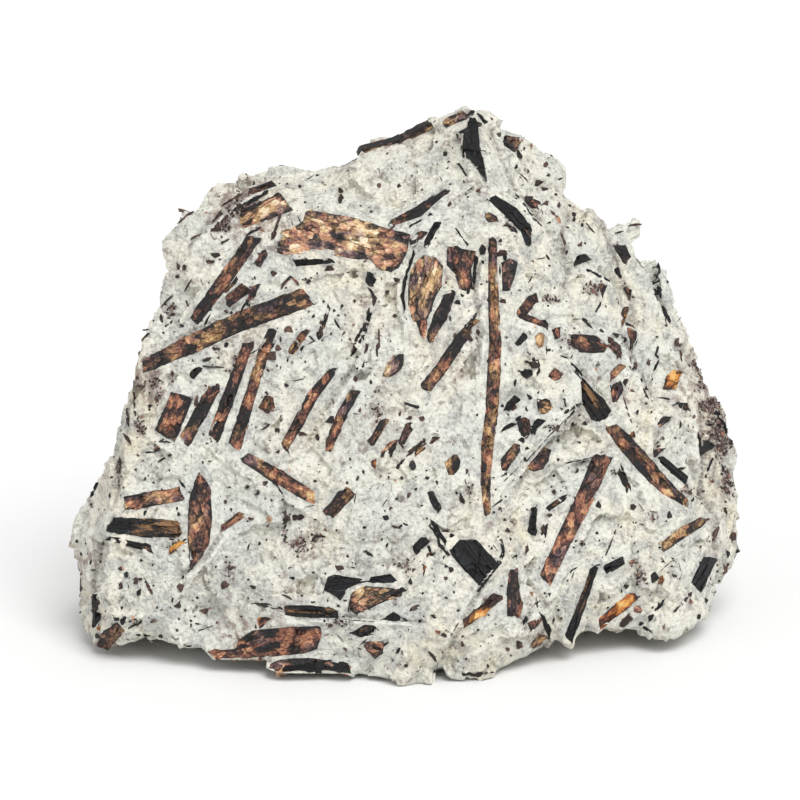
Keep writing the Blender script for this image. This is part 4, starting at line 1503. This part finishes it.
# %% Crumbs read off the front
# Three numbers are a grain (u, v, size), four a longer one (u, v, width, height), and five a
# streak (u, v, u, v, width).
CRUMBS = {
    BRONZE: [
    (-25.5,54.3,.5),(-24.4,55.4,.5),(-23.6,56.3,.4),(-28.1,51.5,-25.9,53.2,.35),(-21.9,54.1,-20,55.1,.3),
    (-18.8,56.2,1.1,.8),(-14.7,56.3,.5,.2),(-10.8,57.3,.5),(-13,55.9,.45),(-12.3,53.9,.4),
    (-15.4,52.7,-15.9,51.2,.4),(-15.9,51.2,-16.4,49.6,.5),(-24,50.2,-22.9,50.9,.9),(-26.5,49.4,-25.3,50,.3),
    (-23.9,51.6,-22.5,53,.4),(-21.3,52.2,.4),(-23.6,47.4,1.2,.7),(-24.1,46.6,1.4,.6),(-28.2,46,.6,1),
    (-27.4,45.8,.5,.9),(-28.3,44.7,.5,.8),(-27.2,43.2,-26.6,44.2,.25),(-30,41.2,-29.2,42,.25),
    (-26.9,40.9,-27.3,42,.25),(-28.7,40.7,.3),(-27.7,38.6,.5),(-30.3,39.4,.4,1),(-16.3,45.2,.8,1),
    (-21.5,40.1,.5),(-23.5,51.2,-21.8,52.3,.3),(-21,53.2,-19.2,54,.35),(-22.6,53.6,-21.2,54.4,.25),
    (-18.6,51.6,-17.4,52.5,.3),(-19.8,50.9,-18.8,51.5,.25),(-17.2,54.2,-15.8,55,.3),
    (-20.6,51.6,-19.2,52.6,.3),(-8.1,55.4,.9,.7),(-7.8,54.3,1),(-3.1,56,.6),(-.6,56,.5),(-4.1,52.8,.5),
    (5.7,53.8,.7),(1,57.3,.3),(-10.8,53.4,.3),(1.3,54.1,1.6,53.9,.2),(7.4,56.5,.45),(5.8,56.2,.3),
    (8,54.6,.3),(2.3,55.5,.3),(-9.3,45.6,1.2,1),(-10.8,45.1,.3),(-2.1,42.7,.6),(-.9,44.4,.6,1),
    (-2.8,44.4,.3),(-1.1,39.8,.8,.5),(-3.1,41.5,.25),(-10,41.6,.4),(-7.7,41,.7,.5),(-6.2,41.6,.4),
    (-8.2,39.8,.4),(-7.3,39.9,.3),(-11.3,39.8,.5),(5.8,39.5,.7),(-4.4,40.5,-5.2,37.5,.4),
    (-4.8,38.8,-5.9,37,.35),(-5.9,37,-6.5,35,.35),(7.1,66.4,1.1,.4),(5.2,60,.6),(9.3,63.7,.7,.9),
    (9.3,55.3,.6),(17.8,58.7,.9,.7),(15.4,57.8,.5),(16.9,56.4,1.1,.8),(17.6,55.6,1,.6),(14.2,59.8,1,1.6),
    (14,58.4,.6),(14,54.4,1.6,.6),(17.5,53.8,1,.8),(15.4,54.6,16.9,53.3,.9),(20.7,53.5,.4),(21.2,52.5,.6),
    (19.6,50,20,48.6,.5),(22,48.6,.7,1),(20.3,47.7,.5),(11,48.8,1.2),(12,49.2,.5),(12.2,47.5,1.2,.8),
    (21.3,46.2,.5),(28.8,48.3,.4),(32.9,44,.6),(26.8,41.4,.6),(25.6,37,26.9,35.5,.7),
    (22.3,39.6,23.5,38.1,.4),(24.6,38,25,37.5,.3),(31.6,37.1,.4),(-33,35.2,.6,.3),(-33.4,34.2,.5),
    (-25,34.2,-24.2,34.4,.4),(-23.2,34.5,.3),(-29,32.5,.5,.7),(-29,31.6,.5,.4),(-33.3,32,.4),
    (-31.7,28.5,.6),(-34.6,28,-34.4,26.3,.4),(-34.9,25,-34.2,23.8,.5),(-26,28.8,-25.8,29.8,.6),
    (-17,33,.4,.8),(-16.5,34.5,1,1.6),(-17.6,25.6,-16.8,26.2,.3),(-16,25.5,.5),(-16.8,24.2,.3,.5),
    (-15.8,22.8,.5),(-24.6,23.8,.4,.3),(-15.4,36.9,.7),(-14.4,38,1.1,.8),(-15.7,35.7,.8),
    (-7.3,37.9,-7.8,37.2,.2),(-4.5,36.6,-4.8,35.3,.4),(-4.9,34,-5.2,33.2,.35),(-3.2,38,-3.1,36.3,.25),
    (-3.1,36.3,-3.4,35.5,.5),(-3.4,35.5,-3.4,34.4,.3),(-5.8,34.6,.5),(-6,31.9,.7),(-7.8,31.9,.3),
    (-3.6,30.3,.4),(-3.1,30.4,.25),(-1.6,29.9,.2),(-5.5,28,.35,.6),(-9.3,26.8,1.1,1),(-10.7,24.6,.7),
    (-14.6,31.1,.8,.5),(-12.4,34,.3),(-15.9,33.5,.3),(-15.4,33.3,.3),(-4.4,27,.2),(-15.8,25.4,.6),
    (-12.7,25,1.2,.8),(.6,27,.8,.5),(2.3,27,.8),(.6,22.5,2.8,24.5,.5),(6.3,37.3,.7,.5),(8,37,1.2,.7),
    (9.2,37.8,.5,1),(12.4,47.8,1.1,.6),(12.3,41.7,.7,1.3),(14.4,43,.3,.4),(21.3,46.4,.6,.8),(18.8,43.3,.3),
    (19,46.4,.2),(12.8,37.1,.3,.5),(18,35.5,.8,.4),(16.5,33.5,.8,1.4),(15.5,48.6,.7,1.2),(8.5,43.3,.5,1),
    (13.6,28.3,.8),(13,27.4,.3),(15.5,30,15.8,29.5,.5),(16.8,30.2,.4),(19.8,30.4,.4),(15.3,28.1,.3,.6),
    (15.2,22,.4,1),(20.2,27.7,22,28.8,.4),(19.2,25.8,.6),(22.6,26.3,.5),(21.9,27.4,.5,.3),(19.3,24.2,.4),
    (19.3,21.8,.4),(21.6,20.5,.4,.8),(22.3,21.6,.7,.5),(18.8,17.8,.8,.6),(14.6,19.6,.4),
    (27.2,21,28.3,18,.3),(18.3,15.8,20.2,17.3,.5),(24.3,16.2,.7,.9),(26.5,34.8,1.3,.8),
    (28.1,35,28.4,34,.25),(28.8,33.2,.6,1.3),(30.3,28.8,.3),(30.5,27.8,.2),(30.9,27.7,.3),(31.4,26.9,.25),
    (30.5,34,.6,.8),(31,31.9,.35),(34.4,35.3,34.7,34,.5),(34.3,36.5,.8,1.5),(32,29.5,33,29.4,.3),
    (36.2,27.2,.5),(35.5,26,.2,.4),(33.9,24.5,.3),(36.7,25.5,36.8,24.4,.3),(37.4,17.8,.4),(39.7,20.9,.6,.9),
    (27.5,29.3,28.4,26.4,.2),(-32.7,21.7,.4,.2),(-36.7,17.5,.3,1),(-32.4,19.4,.4),(-32,19.8,.3),
    (-31.3,18.9,.4),(-29.3,20.5,.3),(-28.2,15,.5),(-35.5,8.1,.5,.7),(-35.3,5.9,.7,1.1),
    (-33.8,7,-32.5,6.8,.35),(-32.5,6.8,-31.5,5,.35),(-33.5,6.4,.5,1),(-32.8,9.2,.4),(-37.9,9,.4,1),
    (-39.1,9,.3,.8),(-37.6,11.8,-37.7,11,.3),(-28,6,.9,1.4),(-22.3,6,.9,1.2),(-26.8,8,-28,6.6,.15),
    (-19.5,18.4,.5),(-18.4,17.7,.7),(-17.4,16.9,.3),(-22.3,16.5,.5),(-19.1,14.5,.6,.7),(-21.6,15.5,.3,.5),
    (-15.3,14,-14,14.5,.6),(-14,14.5,-12.7,14.6,.6),(-7,9.7,.4),(-8.1,8.3,1.1,.7),(-11.3,7.7,.5,.3),
    (-18.9,6,.7,1),(-15,4.8,-14.3,4.5,.3),(-2,19.6,.4),(-.2,19.5,.5),(3,19.5,.8,.4),(1.4,19.7,.4,.2),
    (1.5,18.1,.5,.3),(.7,17.3,.8,.6),(-1.6,15.7,.5),(7.2,17,.6,1.4),(7.7,20.3,.7,.6),(7.7,19,.2,.8),
    (6.6,17.7,.4),(-1.4,13.5,-.7,13.3,.35),(3.2,13.6,.4),(5.1,12.9,.8,1),(10.8,10.7,.6,.4),(13.4,14,.4,.6),
    (11.8,15.7,.8,.4),(15.3,10.5,.5,1),(5.8,8,.8,.6),(5.2,7,.5),(6.3,6.4,.3),(6.2,5.2,.3),(5.3,4.5,.5,.3),
    (-.8,20.8,0,21.8,.5),(.5,22.3,1.2,23,.4),(17.3,13,.6,1.6),(18.7,1.8,.3,1.2),(28.6,15.8,.9,.7),
    (27.1,13.4,.3),(28.5,12.2,.4,.2),(29.1,8.9,.4),(20.4,6.7,.3),(27.8,6,.7),(33.2,15,.8,1.2),
    (33.8,7.4,.5,.6),(35,9.2,.3),(37.1,10.9,.4),(38.9,12.5,.7,1.8),(40.1,16,40.3,14.8,.4),
    (40.5,9,39.9,7.6,.6),(39.1,8.7,.4,.6),(39.1,7.8,.4,.5),(33.9,2.9,35.9,5.1,.4),(36.7,2.2,.8,.7),
    (37,1.3,39,2.2,.4),(34.3,9.4,33.3,9,.12),(33.3,9,32,7.8,.12),(-38.3,4,-38.6,2.2,1),(-25,3,1.1,.8),
    (-27.3,3,.4),(-26.1,2.2,.3),(-30.3,-.2,.7),(-9.2,1.1,.7,.5),(6.7,2.9,.6,.25),(18.6,25.2,20.9,27.5,.13),
    (12.6,19.2,14.4,20.9,.12),(7.3,-1.2,.6,.7),(7.8,-3.1,.3),(7.5,-5,9.5,-5,.7),(10,-4.9,11.2,-4.8,.2),
    (-2,-4.3,.3),
    ],
    BLACK: [
    (-12,56.9,-11,57.5,.15),(-19.5,53.8,-17.2,55.2,.5),(-24.8,38.9,-24.3,39.8,.25),
    (-20.2,40.6,-19.8,41.3,.3),(-5.4,53.5,.25),(7.9,55.4,8.7,55.9,.15),(-7,45.2,.4,.15),(-6.3,45.3,.3,.15),
    (-6.2,43.8,.3,.15),(-8.6,39.3,-8,38.3,.15),(6,42.5,.9),(6.7,41.4,.8),(9.1,47,8.6,44,.4),
    (8.6,44,8,42.7,.4),(9.3,64.8,10.4,63.5,.6),(6.5,62.8,6.7,62.1,.2),(6.5,59.2,8,57.1,.3),
    (14.5,57.5,15.4,56.6,.3),(14,55,15.2,53.5,.2),(15.2,53.5,16.2,52,.2),(16.2,52,17.4,50.8,.2),
    (18.1,51.4,.6,.25),(20.4,50.8,.4,.2),(22.6,51.5,23.7,50.2,.18),(22.6,48.8,.5,.3),(22.2,51,.4,.7),
    (18,57.3,.4),(7.2,62.7,8.9,63.6,.6),(5.2,63.8,8.6,65.2,.5),(26.5,50.1,27.3,50.3,.2),
    (26.4,45.8,27.1,44.4,.6),(22.9,45.5,25.5,44.2,.3),(24.5,41.3,24,40.2,.3),(31.8,46.1,31.6,44.5,.35),
    (31.6,44.5,32,42.7,.5),(32,42.7,32.1,41.8,.4),(32.6,40,32.9,38.3,.2),(29.6,39.8,30,39,.2),
    (26.3,37.4,28,36.6,.5),(-22.2,36.1,.6),(-32.5,38,-31.8,38.1,.25),(-32.6,36.8,-32,37.5,.4),
    (-33.3,36.6,.3),(-32.4,22.7,-31.3,22.7,.25),(-30.5,21.6,-29.1,22.5,.25),(-16.3,36.2,-17.2,34.5,.2),
    (-17.2,34.5,-17.4,33,.2),(-17.4,33,-18.5,31,.2),(-19,26.2,.25),(-19.2,35,-18.2,35.6,.15),
    (-11.8,37.2,-11.3,36.7,.2),(-11.8,36.3,-11.2,36.6,.2),(-10.8,37.6,-10.8,36.7,.25),(-8.6,39,-8,38.2,.2),
    (-5.8,33.2,.4),(-4.2,33.2,.2),(-4.1,31.4,.3,.7),(-11.2,25.5,.2),(.3,28.8,2.2,28.2,.4),
    (-13.3,35,-12.6,35.9,.3),(-14.5,34.3,.5),(9.9,48,.8,1.5),(9.9,46.5,.5),(12,45.8,12,44.8,.25),
    (12.6,47,.6),(9.7,43.7,.3),(10.3,44,.3),(15.6,44,15.9,44.5,.2),(13.4,42.6,.2),(17.8,47.3,18.1,46.8,.25),
    (18.2,46,.3),(16.4,45.4,.2),(18,41,.3),(15.5,35.2,.2,.7),(15.4,34.1,.25),(12.6,33.7,.3),(15.9,32.5,.5),
    (20.7,34,22,32.6,.3),(21,34.7,.4),(13.9,31.4,.35,.8),(12.3,28.5,.4),(20,29.6,20.3,28.4,.25),
    (14.3,27,1.2,.7),(14.7,24.2,.8),(15.4,23.2,.5,.4),(22,23.9,.3),(19.6,17.9,.2),(17,17.8,.2),
    (12.7,17.2,.25),(12.1,17.1,.2),(11.2,17.9,11.5,18.1,.2),(14.8,20.8,.2),(11.1,16,12,16.6,.25),
    (16.3,25.5,1),(20,26.3,20.8,27.4,.15),(20.8,27.4,22,28.8,.15),(28.7,27,29.3,28,.3),
    (21.3,32.8,25,29,.15),(29.6,31.9,.3,1),(30.3,30.6,.3,.7),(31.7,35.8,31.5,35,.3),(31.5,35,31.9,34.2,.3),
    (31.9,34.2,31.2,33,.3),(34.5,26.3,.3,1.2),(34.5,24.5,.2),(35.1,23.9,.25),(34.2,20.6,35,20.7,.3),
    (36.8,19.5,37.2,18.8,.3),(38,26.2,39.3,26.1,.3),(39,27.7,39.8,26.5,.5),(39.8,26.5,40.3,25.2,.5),
    (40.3,25.2,41,23.8,.5),(38.5,21.8,37.6,19.5,.3),(40.8,18.8,.4,.6),(40.1,18.3,.3),(39.8,20,.3),
    (-24.9,21.7,-23.9,21.5,.25),(-35.5,22.3,-35.5,20.5,.25),(-35.6,19,-35.6,18.3,.15),(-35.1,18.3,.3),
    (-38.3,18.8,-39,17.2,.6),(-30.2,18.1,.3),(-27.9,19,-27.3,18.2,.35),(-32.3,15.3,-32.4,14.8,.4),
    (-34.6,7.4,.8,.6),(-38.9,8,.7,.2),(-37.8,10,.3),(-40.9,11.6,.3,.6),(-33.2,5,.7,1.6),(-23.5,8.4,.3),
    (-24.4,6.5,.2),(-25.9,4.6,.3),(-17.1,19.8,-16,18.7,.4),(-16,18.7,-15.3,17.7,.25),(-19.4,10.9,.3,1),
    (-18.1,11.3,.4),(-17.2,11.8,.3),(-11.1,14.3,.3),(-5,13.3,.6,.3),(-5.1,11.8,.3,.2),
    (-5.2,10.7,-3.9,9.6,.35),(-3.8,15.3,.2),(-6.4,8.9,.2),(-6,8.8,.25),(-6.4,8.3,.5,.2),(-9.8,7.6,.5,.3),
    (-14.2,8.3,.6,.2),(-14,7,.7,.4),(-12.8,4.8,.3),(-17.8,4.3,.4,.2),(-20.8,4.2,.2),(-9.5,4.2,.3),
    (-9.2,7.2,-10,5.4,.2),(-6.8,22,-6.7,21.7,.2),(-6.6,20.8,.2),(-5.1,20.3,.3,.8),(-.9,16.9,.4,.3),
    (2.5,14.4,.2),(6.8,14.1,.2),(8.3,16.4,.2),(-2.2,14.6,.9,.8),(-.7,13.3,0,13.8,.25),(0,13.8,.5,13.6,.25),
    (3.4,13.2,4.3,12,.35),(4.3,12,4.4,11.2,.4),(4.4,11.2,5.5,10,.4),(6,12.3,.6,.5),(4.3,12.7,.3),
    (-2.8,11.9,.3,.5),(-2.1,11.1,.3,.6),(3,11,3.6,9.5,.4),(12.2,11,12.5,10,.25),(12.5,10,12,8.8,.25),
    (12,8.8,10.5,7,.25),(10.5,7,9.2,5.3,.35),(13.2,11.8,.5,.4),(11.7,12.8,.2),(11.2,15.2,.3),
    (13.9,9.8,.5,.4),(13.9,9.8,13.3,9.2,.15),(5,9.6,.3,.5),(2.4,5.1,.4),(-1.8,6.6,.8),(.8,6.6,.5,.8),
    (20.7,7.6,21,8,.15),(21,8,21.6,8.3,.15),(21.2,10.8,.3),(21.5,11.6,.3),(24.4,11.7,.3),(17.6,5.1,.3),
    (14.8,3.9,.3),(19.4,3,.3),(24,8.6,24.8,8.7,.15),(25.6,4.6,.25,.4),(29.7,1.3,.7,.5),(30.1,.8,31,.1,.3),
    (28.7,14,.3),(27.3,1.3,28.2,2.6,.2),(32.7,14.1,.4,.2),(29,13.9,.25),(32.3,9.1,.3),(31.2,7,1.2,1.3),
    (41.5,10.4,1,.5),(40.3,10,.9),(39.8,5.9,.3),(36.1,16.8,.5),(36.6,17.5,.3),(32,10.8,.4),(-38,1.8,.8,1),
    (-38.8,1.1,.5),(-38.2,-.2,.8,.6),(-36,1.9,.8,.5),(-35.1,1.7,.7,1),(-34.2,.8,-32.6,1.7,.35),
    (-33.4,-.1,-32,-.2,.25),(-32.5,-.7,-30.4,-1,.3),(-28.7,-1.8,-27.6,-1.7,.15),(-27.2,-1.5,-26.6,-1.5,.2),
    (-25.6,.4,-24,1,.15),(-26.2,1.3,-25.4,1.2,.2),(-28.1,1.9,.3),(-26.4,4.2,.25),(-25.8,4.5,.25),
    (-24.4,4.1,.2),(-30.9,3.3,.3),(-18.3,-3.4,.9,.25),(-7.5,1.8,-3.8,1.5,.1),(-3.5,-2,-2,-1,.4),
    (-5.3,-1.2,-4.6,-.6,.2),(-9,-3.7,-6.8,-4.7,.5),(3.5,2.3,4,2,.35),(2.5,2.2,.6,.3),(1.9,1.6,.5,.4),
    (.5,.5,.3),(5.7,-.4,6.8,1.4,.12),(9.3,.5,.5,.25),(10.6,2.3,.3,.4),(4.8,-2.3,.2),(6.8,-3.4,.3),
    (7.4,-4.2,.2),(10.7,-3.1,.2),(-.4,-3.8,.2),(-.7,-2,.5,1),(20.4,21.4,22.3,21.8,.16),
    (22.3,21.8,24.3,22.3,.16),(15.4,21.7,17.2,23.7,.12),(20.9,27.3,22.2,28.8,.12),(17.2,23.7,18.4,25.1,.1),
    ],
    COPPER: [
    (-17.9,50.5,1.5,.4),(11.9,62.4,.6),(16,61,.5),(15,60.7,.4),(19,54.9,.4),(19,56.6,19.7,57,.3),
    (19.1,53.6,.9),(18.5,52.8,19.4,51.6,.4),(12.3,51.5,14,50.3,.6),(-1.6,50.7,.8,52.2,.35),
    (-33.8,31.5,-33.6,27.5,.3),(-10.2,39,-10.5,37,.6),(9,40,8.3,38.7,.3),(27.7,31.5,.8,1),
    (28.3,30.4,29,30.3,.2),(38.6,19.1,1,.4),(39.7,25,.6),(38,31.8,.6,.8),(-17.2,18.8,1,.5),
    (-5.8,19.5,.4,.8),(-11.2,19.1,.6,.3),(-9.9,13,.3),(-3,19.8,.4),(1.2,21.3,.9,1.6),(12.1,11.6,.4,.6),
    (25.3,10,26.4,12.8,.25),(29.2,10.3,.3),(18.1,14.8,.8,.4),(15.9,5,.4,.6),(29.2,3,1),(28.5,9,1,.4),
    (35.7,4,1),(37.7,4.2,.6,.5),(38.5,3.5,38.6,4.3,.3),(32.5,.9,.3,.6),(30.9,9.6,.5,.15),(38.2,11.6,.3),
    (-31.3,1.6,.8,.4),(-28.4,.5,.4),(-28.9,4.2,.3,.6),(-35.5,3,-35,3.6,.3),(-40.3,10,.4),(-40.3,7.5,.4),
    (.5,2.8,1.5,3.4,.4),(.3,-4,.6,.4),(10.4,-4,.4),(13,-1.9,.6),(14.2,-1.4,1.1,.9),(13.4,-2.7,.3),
    (3.2,-2.4,3.8,-3.1,.4),(30,30.5,30.5,29.3,.25),(21.2,26.3,.6),(-19.8,52.9,-17.8,53.9,.5),
    (-22.3,52.1,-20.6,53.2,.35),(-19.4,50,-18,50.8,.35),(-5.5,60.6,-2.5,61.6,.5),(-23.2,48.6,-21.9,49.4,.3),
    ],
    AMBER: [
    (-17.7,1.6,1.3,1),(-20,-1,1.2,1),(-28.3,3.5,.8,1),(10.6,4,.6),(9.5,2.3,10.2,2.8,.8),(16.3,1.3,1.4,1.2),
    (4.3,.3,.8,.5),(5,-.2,.8,.7),(12.9,12.7,.6,1.1),(32.1,6.9,.9,1.4),(40.8,12.3,1.4),(32.6,17.8,.9,1.6),
    (28.6,24.8,.6,1),(27.5,1.5,1.6,1),(-3.7,21.3,.9,1.2),(-38,.7,.8,.5),(-12.5,37,.6),
    (-17.2,53.2,-15.8,54,.35),(34.4,32.6,.8,.8),
    ],
}
print("crumbs:", {mineral: len(rows) for mineral, rows in CRUMBS.items()})

# %% Make the lumps
def hulls(count, dice):
    """Small lumps with flat faces, of radius 1, as corners and triangles."""
    made = []
    for _ in range(count):
        shape = bmesh.new()
        for _ in range(9):
            place = Vector([dice.gauss(0.0, 1.0) for _ in range(3)]).normalized()
            shape.verts.new(place * dice.uniform(0.8, 1.0))
        bmesh.ops.convex_hull(shape, input=shape.verts[:])
        bmesh.ops.delete(shape, geom=[v for v in shape.verts if not v.link_faces], context="VERTS")
        shape.verts.index_update()
        made.append((np.array([v.co for v in shape.verts]),
                     [[v.index for v in face.verts] for face in shape.faces]))
        shape.free()
    return made


chance = np.random.default_rng(11)
dice = random.Random(11)
LUMPS = hulls(14, dice)
print("lumps:", len(LUMPS), "with", sum(len(faces) for _, faces in LUMPS), "faces in all")

# %% Lay the crumbs where the eye sees them
THICKEST = 0.24
LET_IN = 0.03
STREAK_STEP = 0.8
kinds = {mineral: [] for mineral in MINERALS}


def add_crumb(mineral, u, v, way, half_long, half_wide, tone):
    """A lump let into the stone where the eye sees (u, v), drawn out along a way it sees."""
    place, out = SURFACE.ray_cast(EYE, sight(u, v))[:2]
    if place is None:
        return
    axes = []
    for side, half in ((way, half_long), (Vector((-way.y, way.x)), half_wide)):
        ends = [SURFACE.ray_cast(EYE, sight(u + side.x * by, v + side.y * by))[0] for by in (-half, half)]
        if None in ends or (ends[1] - ends[0]).length > 3.6 * half:
            axes.append((RIGHT * side.x + UP * side.y) * half)
        else:
            axes.append((ends[1] - ends[0]) / 2)
    out = axes[0].cross(axes[1]).normalized()
    out *= 1.0 if out.dot(TOWARD) > 0.0 else -1.0
    axes.append(out * min(THICKEST, half_wide * 0.7))
    kinds[mineral].append((dice.choice(LUMPS), np.array(place + out * LET_IN), np.array(axes), tone))


def add_streak(mineral, start, stop, half_wide, tone):
    """A row of lumps that overlap, from one place to another."""
    parts = max(1, round((stop - start).length / STREAK_STEP))
    way = (stop - start).normalized()
    for part in range(parts):
        at = start + (stop - start) * ((part + 0.5) / parts)
        add_crumb(mineral, at.x, at.y, way, (stop - start).length / parts * 1.1, half_wide, tone)


for mineral, rows in CRUMBS.items():
    for row in rows:
        tone = dice.uniform(-0.2, 0.8) if mineral in (BRONZE, BLACK) else dice.uniform(-0.4, 0.6)
        if len(row) == 5:
            add_streak(mineral, Vector(row[:2]), Vector(row[2:4]), row[4] * 0.72, tone)
            continue
        wide, high = row[2], row[-1]
        turn = dice.uniform(-0.4, 0.4) + (math.pi / 2 if high > wide else 0.0)
        way = Vector((math.cos(turn), math.sin(turn)))
        add_crumb(mineral, row[0], row[1], way, max(wide, high) * 0.66, min(wide, high) * 0.70, tone)
for u, v, wide, high in CROWDS:
    for _ in range(int(5 + 7 * wide * high)):
        at = (u + dice.gauss(0.0, wide * 0.34), v + dice.gauss(0.0, high * 0.34))
        way = Vector((dice.gauss(0.0, 1.0), dice.gauss(0.0, 1.0))).normalized()
        half = dice.uniform(0.09, 0.22)
        add_crumb(dice.choices([BRONZE, BLACK, COPPER], [0.8, 0.1, 0.1])[0], *at, way,
                  half * dice.uniform(1.0, 1.8), half, dice.uniform(-0.1, 1.1))
print("crumbs laid:", {mineral: len(lumps) for mineral, lumps in kinds.items()})

# %% [markdown]
# ## Dust of grains
#
# What is left is fine dust of the same minerals, all round the stone, too much to place by hand.
# Random places, even by area, are thinned by a slow noise, so that the dust lies in drifts, and
# by the crystals, which stay free of it. Each grain is one of the same lumps, stretched and
# turned, and all grains of a mineral are one mesh.

# %% Scatter the grains
GRAINS = 4600
NEEDLES = 260
MARGIN = 0.25
LOWEST = 0.6


def spots_on(thing, count, dice):
    """Random places on an object, evenly by area, each with the direction out of it."""
    mesh = thing.data
    corners = np.array([vertex.co for vertex in mesh.vertices]) / MM
    faces = np.array([face.vertices[:3] for face in mesh.polygons])
    first, second = (corners[faces[:, i]] - corners[faces[:, 0]] for i in (1, 2))
    across = np.cross(first, second)
    area = np.linalg.norm(across, axis=1)
    chosen = dice.choice(len(faces), size=count, p=area / area.sum())
    first, second = dice.random((2, count, 1))
    turned = first + second > 1.0
    first, second = np.where(turned, 1.0 - first, first), np.where(turned, 1.0 - second, second)
    a, b, c = (corners[faces[chosen, i]] for i in range(3))
    return a + (b - a) * first + (c - a) * second, across[chosen] / area[chosen][:, None]


def off_crystals(places, margin):
    """Which places are clear of every crystal."""
    clear = np.ones(len(places), bool)
    for form in everything:
        wide = widened(form, margin)
        flat = wide.local(places)
        height, inside = wide.heights(flat)
        clear &= ~(inside & (np.abs(flat[:, 2] - height) < 2.5))
    return clear


places, outs = spots_on(stone, GRAINS + NEEDLES, chance)
clear = off_crystals(places, MARGIN) & (places[:, 2] > LOWEST)
drift = [noise.fractal(Vector(place) / 9.0 + Vector((5.0, 2.0, 8.0)), 0.8, 2.1, 2) for place in places]
before_eye = (outs @ np.array(TOWARD) > -0.4) & (places[:, 1] < FRONT_DEPTH)
for index in np.nonzero(clear)[0]:
    place, out = places[index], outs[index]
    if drift[index] < dice.uniform(-0.9, 0.35):
        continue
    side = np.cross(out, chance.normal(size=3))
    side /= np.linalg.norm(side)
    across = np.cross(out, side)
    if index >= GRAINS:
        half = dice.uniform(0.35, 1.2)
        axes = np.array([side * half, across * dice.uniform(0.05, 0.10), out * 0.10])
        kinds[BLACK].append((dice.choice(LUMPS), place + out * LET_IN, axes, dice.random()))
        continue
    radius = 0.08 + 0.22 * dice.random() ** 2.5 if before_eye[index] else 0.10 + 0.40 * dice.random() ** 2.2
    long = radius * dice.uniform(1.0, 1.7)
    if not before_eye[index] and dice.random() < 0.07:
        radius = dice.uniform(0.22, 0.42)
        long = radius * dice.uniform(2.5, 5.0)
    axes = np.array([side * long, across * radius, out * radius * 0.7])
    mineral = dice.choices([BRONZE, BLACK, COPPER], [0.80, 0.13, 0.07])[0]
    kinds[mineral].append((dice.choice(LUMPS), place - out * radius * 0.15, axes, dice.random()))
print("with the dust:", {mineral: len(lumps) for mineral, lumps in kinds.items()})

# %% Put the grains of each mineral into one mesh
def add_lumps(name, material, lumps):
    """One mesh of many lumps: each is a template, a place, its three half axes and a tone."""
    corners, faces, lies, shades = [], [], [], []
    count = 0
    for (shape, triangles), place, axes, shade in lumps:
        corners.append(place + shape @ axes)
        faces += [[i + count for i in triangle] for triangle in triangles]
        lies.append(shape * np.linalg.norm(axes, axis=1) + place * 1.7)
        shades += [shade] * len(shape)
        count += len(shape)
    mesh = bpy.data.meshes.new(name)
    mesh.from_pydata((np.concatenate(corners) * MM).tolist(), [], faces)
    lie = mesh.attributes.new("lie", "FLOAT_VECTOR", "POINT")
    lie.data.foreach_set("vector", np.concatenate(lies).ravel())
    mesh.attributes.new("shade", "FLOAT", "POINT").data.foreach_set("value", shades)
    mesh.attributes.new("hue", "FLOAT", "POINT").data.foreach_set("value", [-0.5] * len(shades))
    mesh.materials.append(material)
    return into_scene(name, mesh)


for mineral, lumps in kinds.items():
    piece = add_lumps("grains_" + mineral, GRAIN_BRONZE if mineral == BRONZE else MINERALS[mineral], lumps)
    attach(piece, "root")
    print(piece.name, len(piece.data.polygons), "faces")

# %% [markdown]
# ## Check the size and finish
#
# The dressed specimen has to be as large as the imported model, so both boxes are written down.
# The last call hands the pieces over.

# %% Write the size and finish
print("size of the model and of the looks written down")
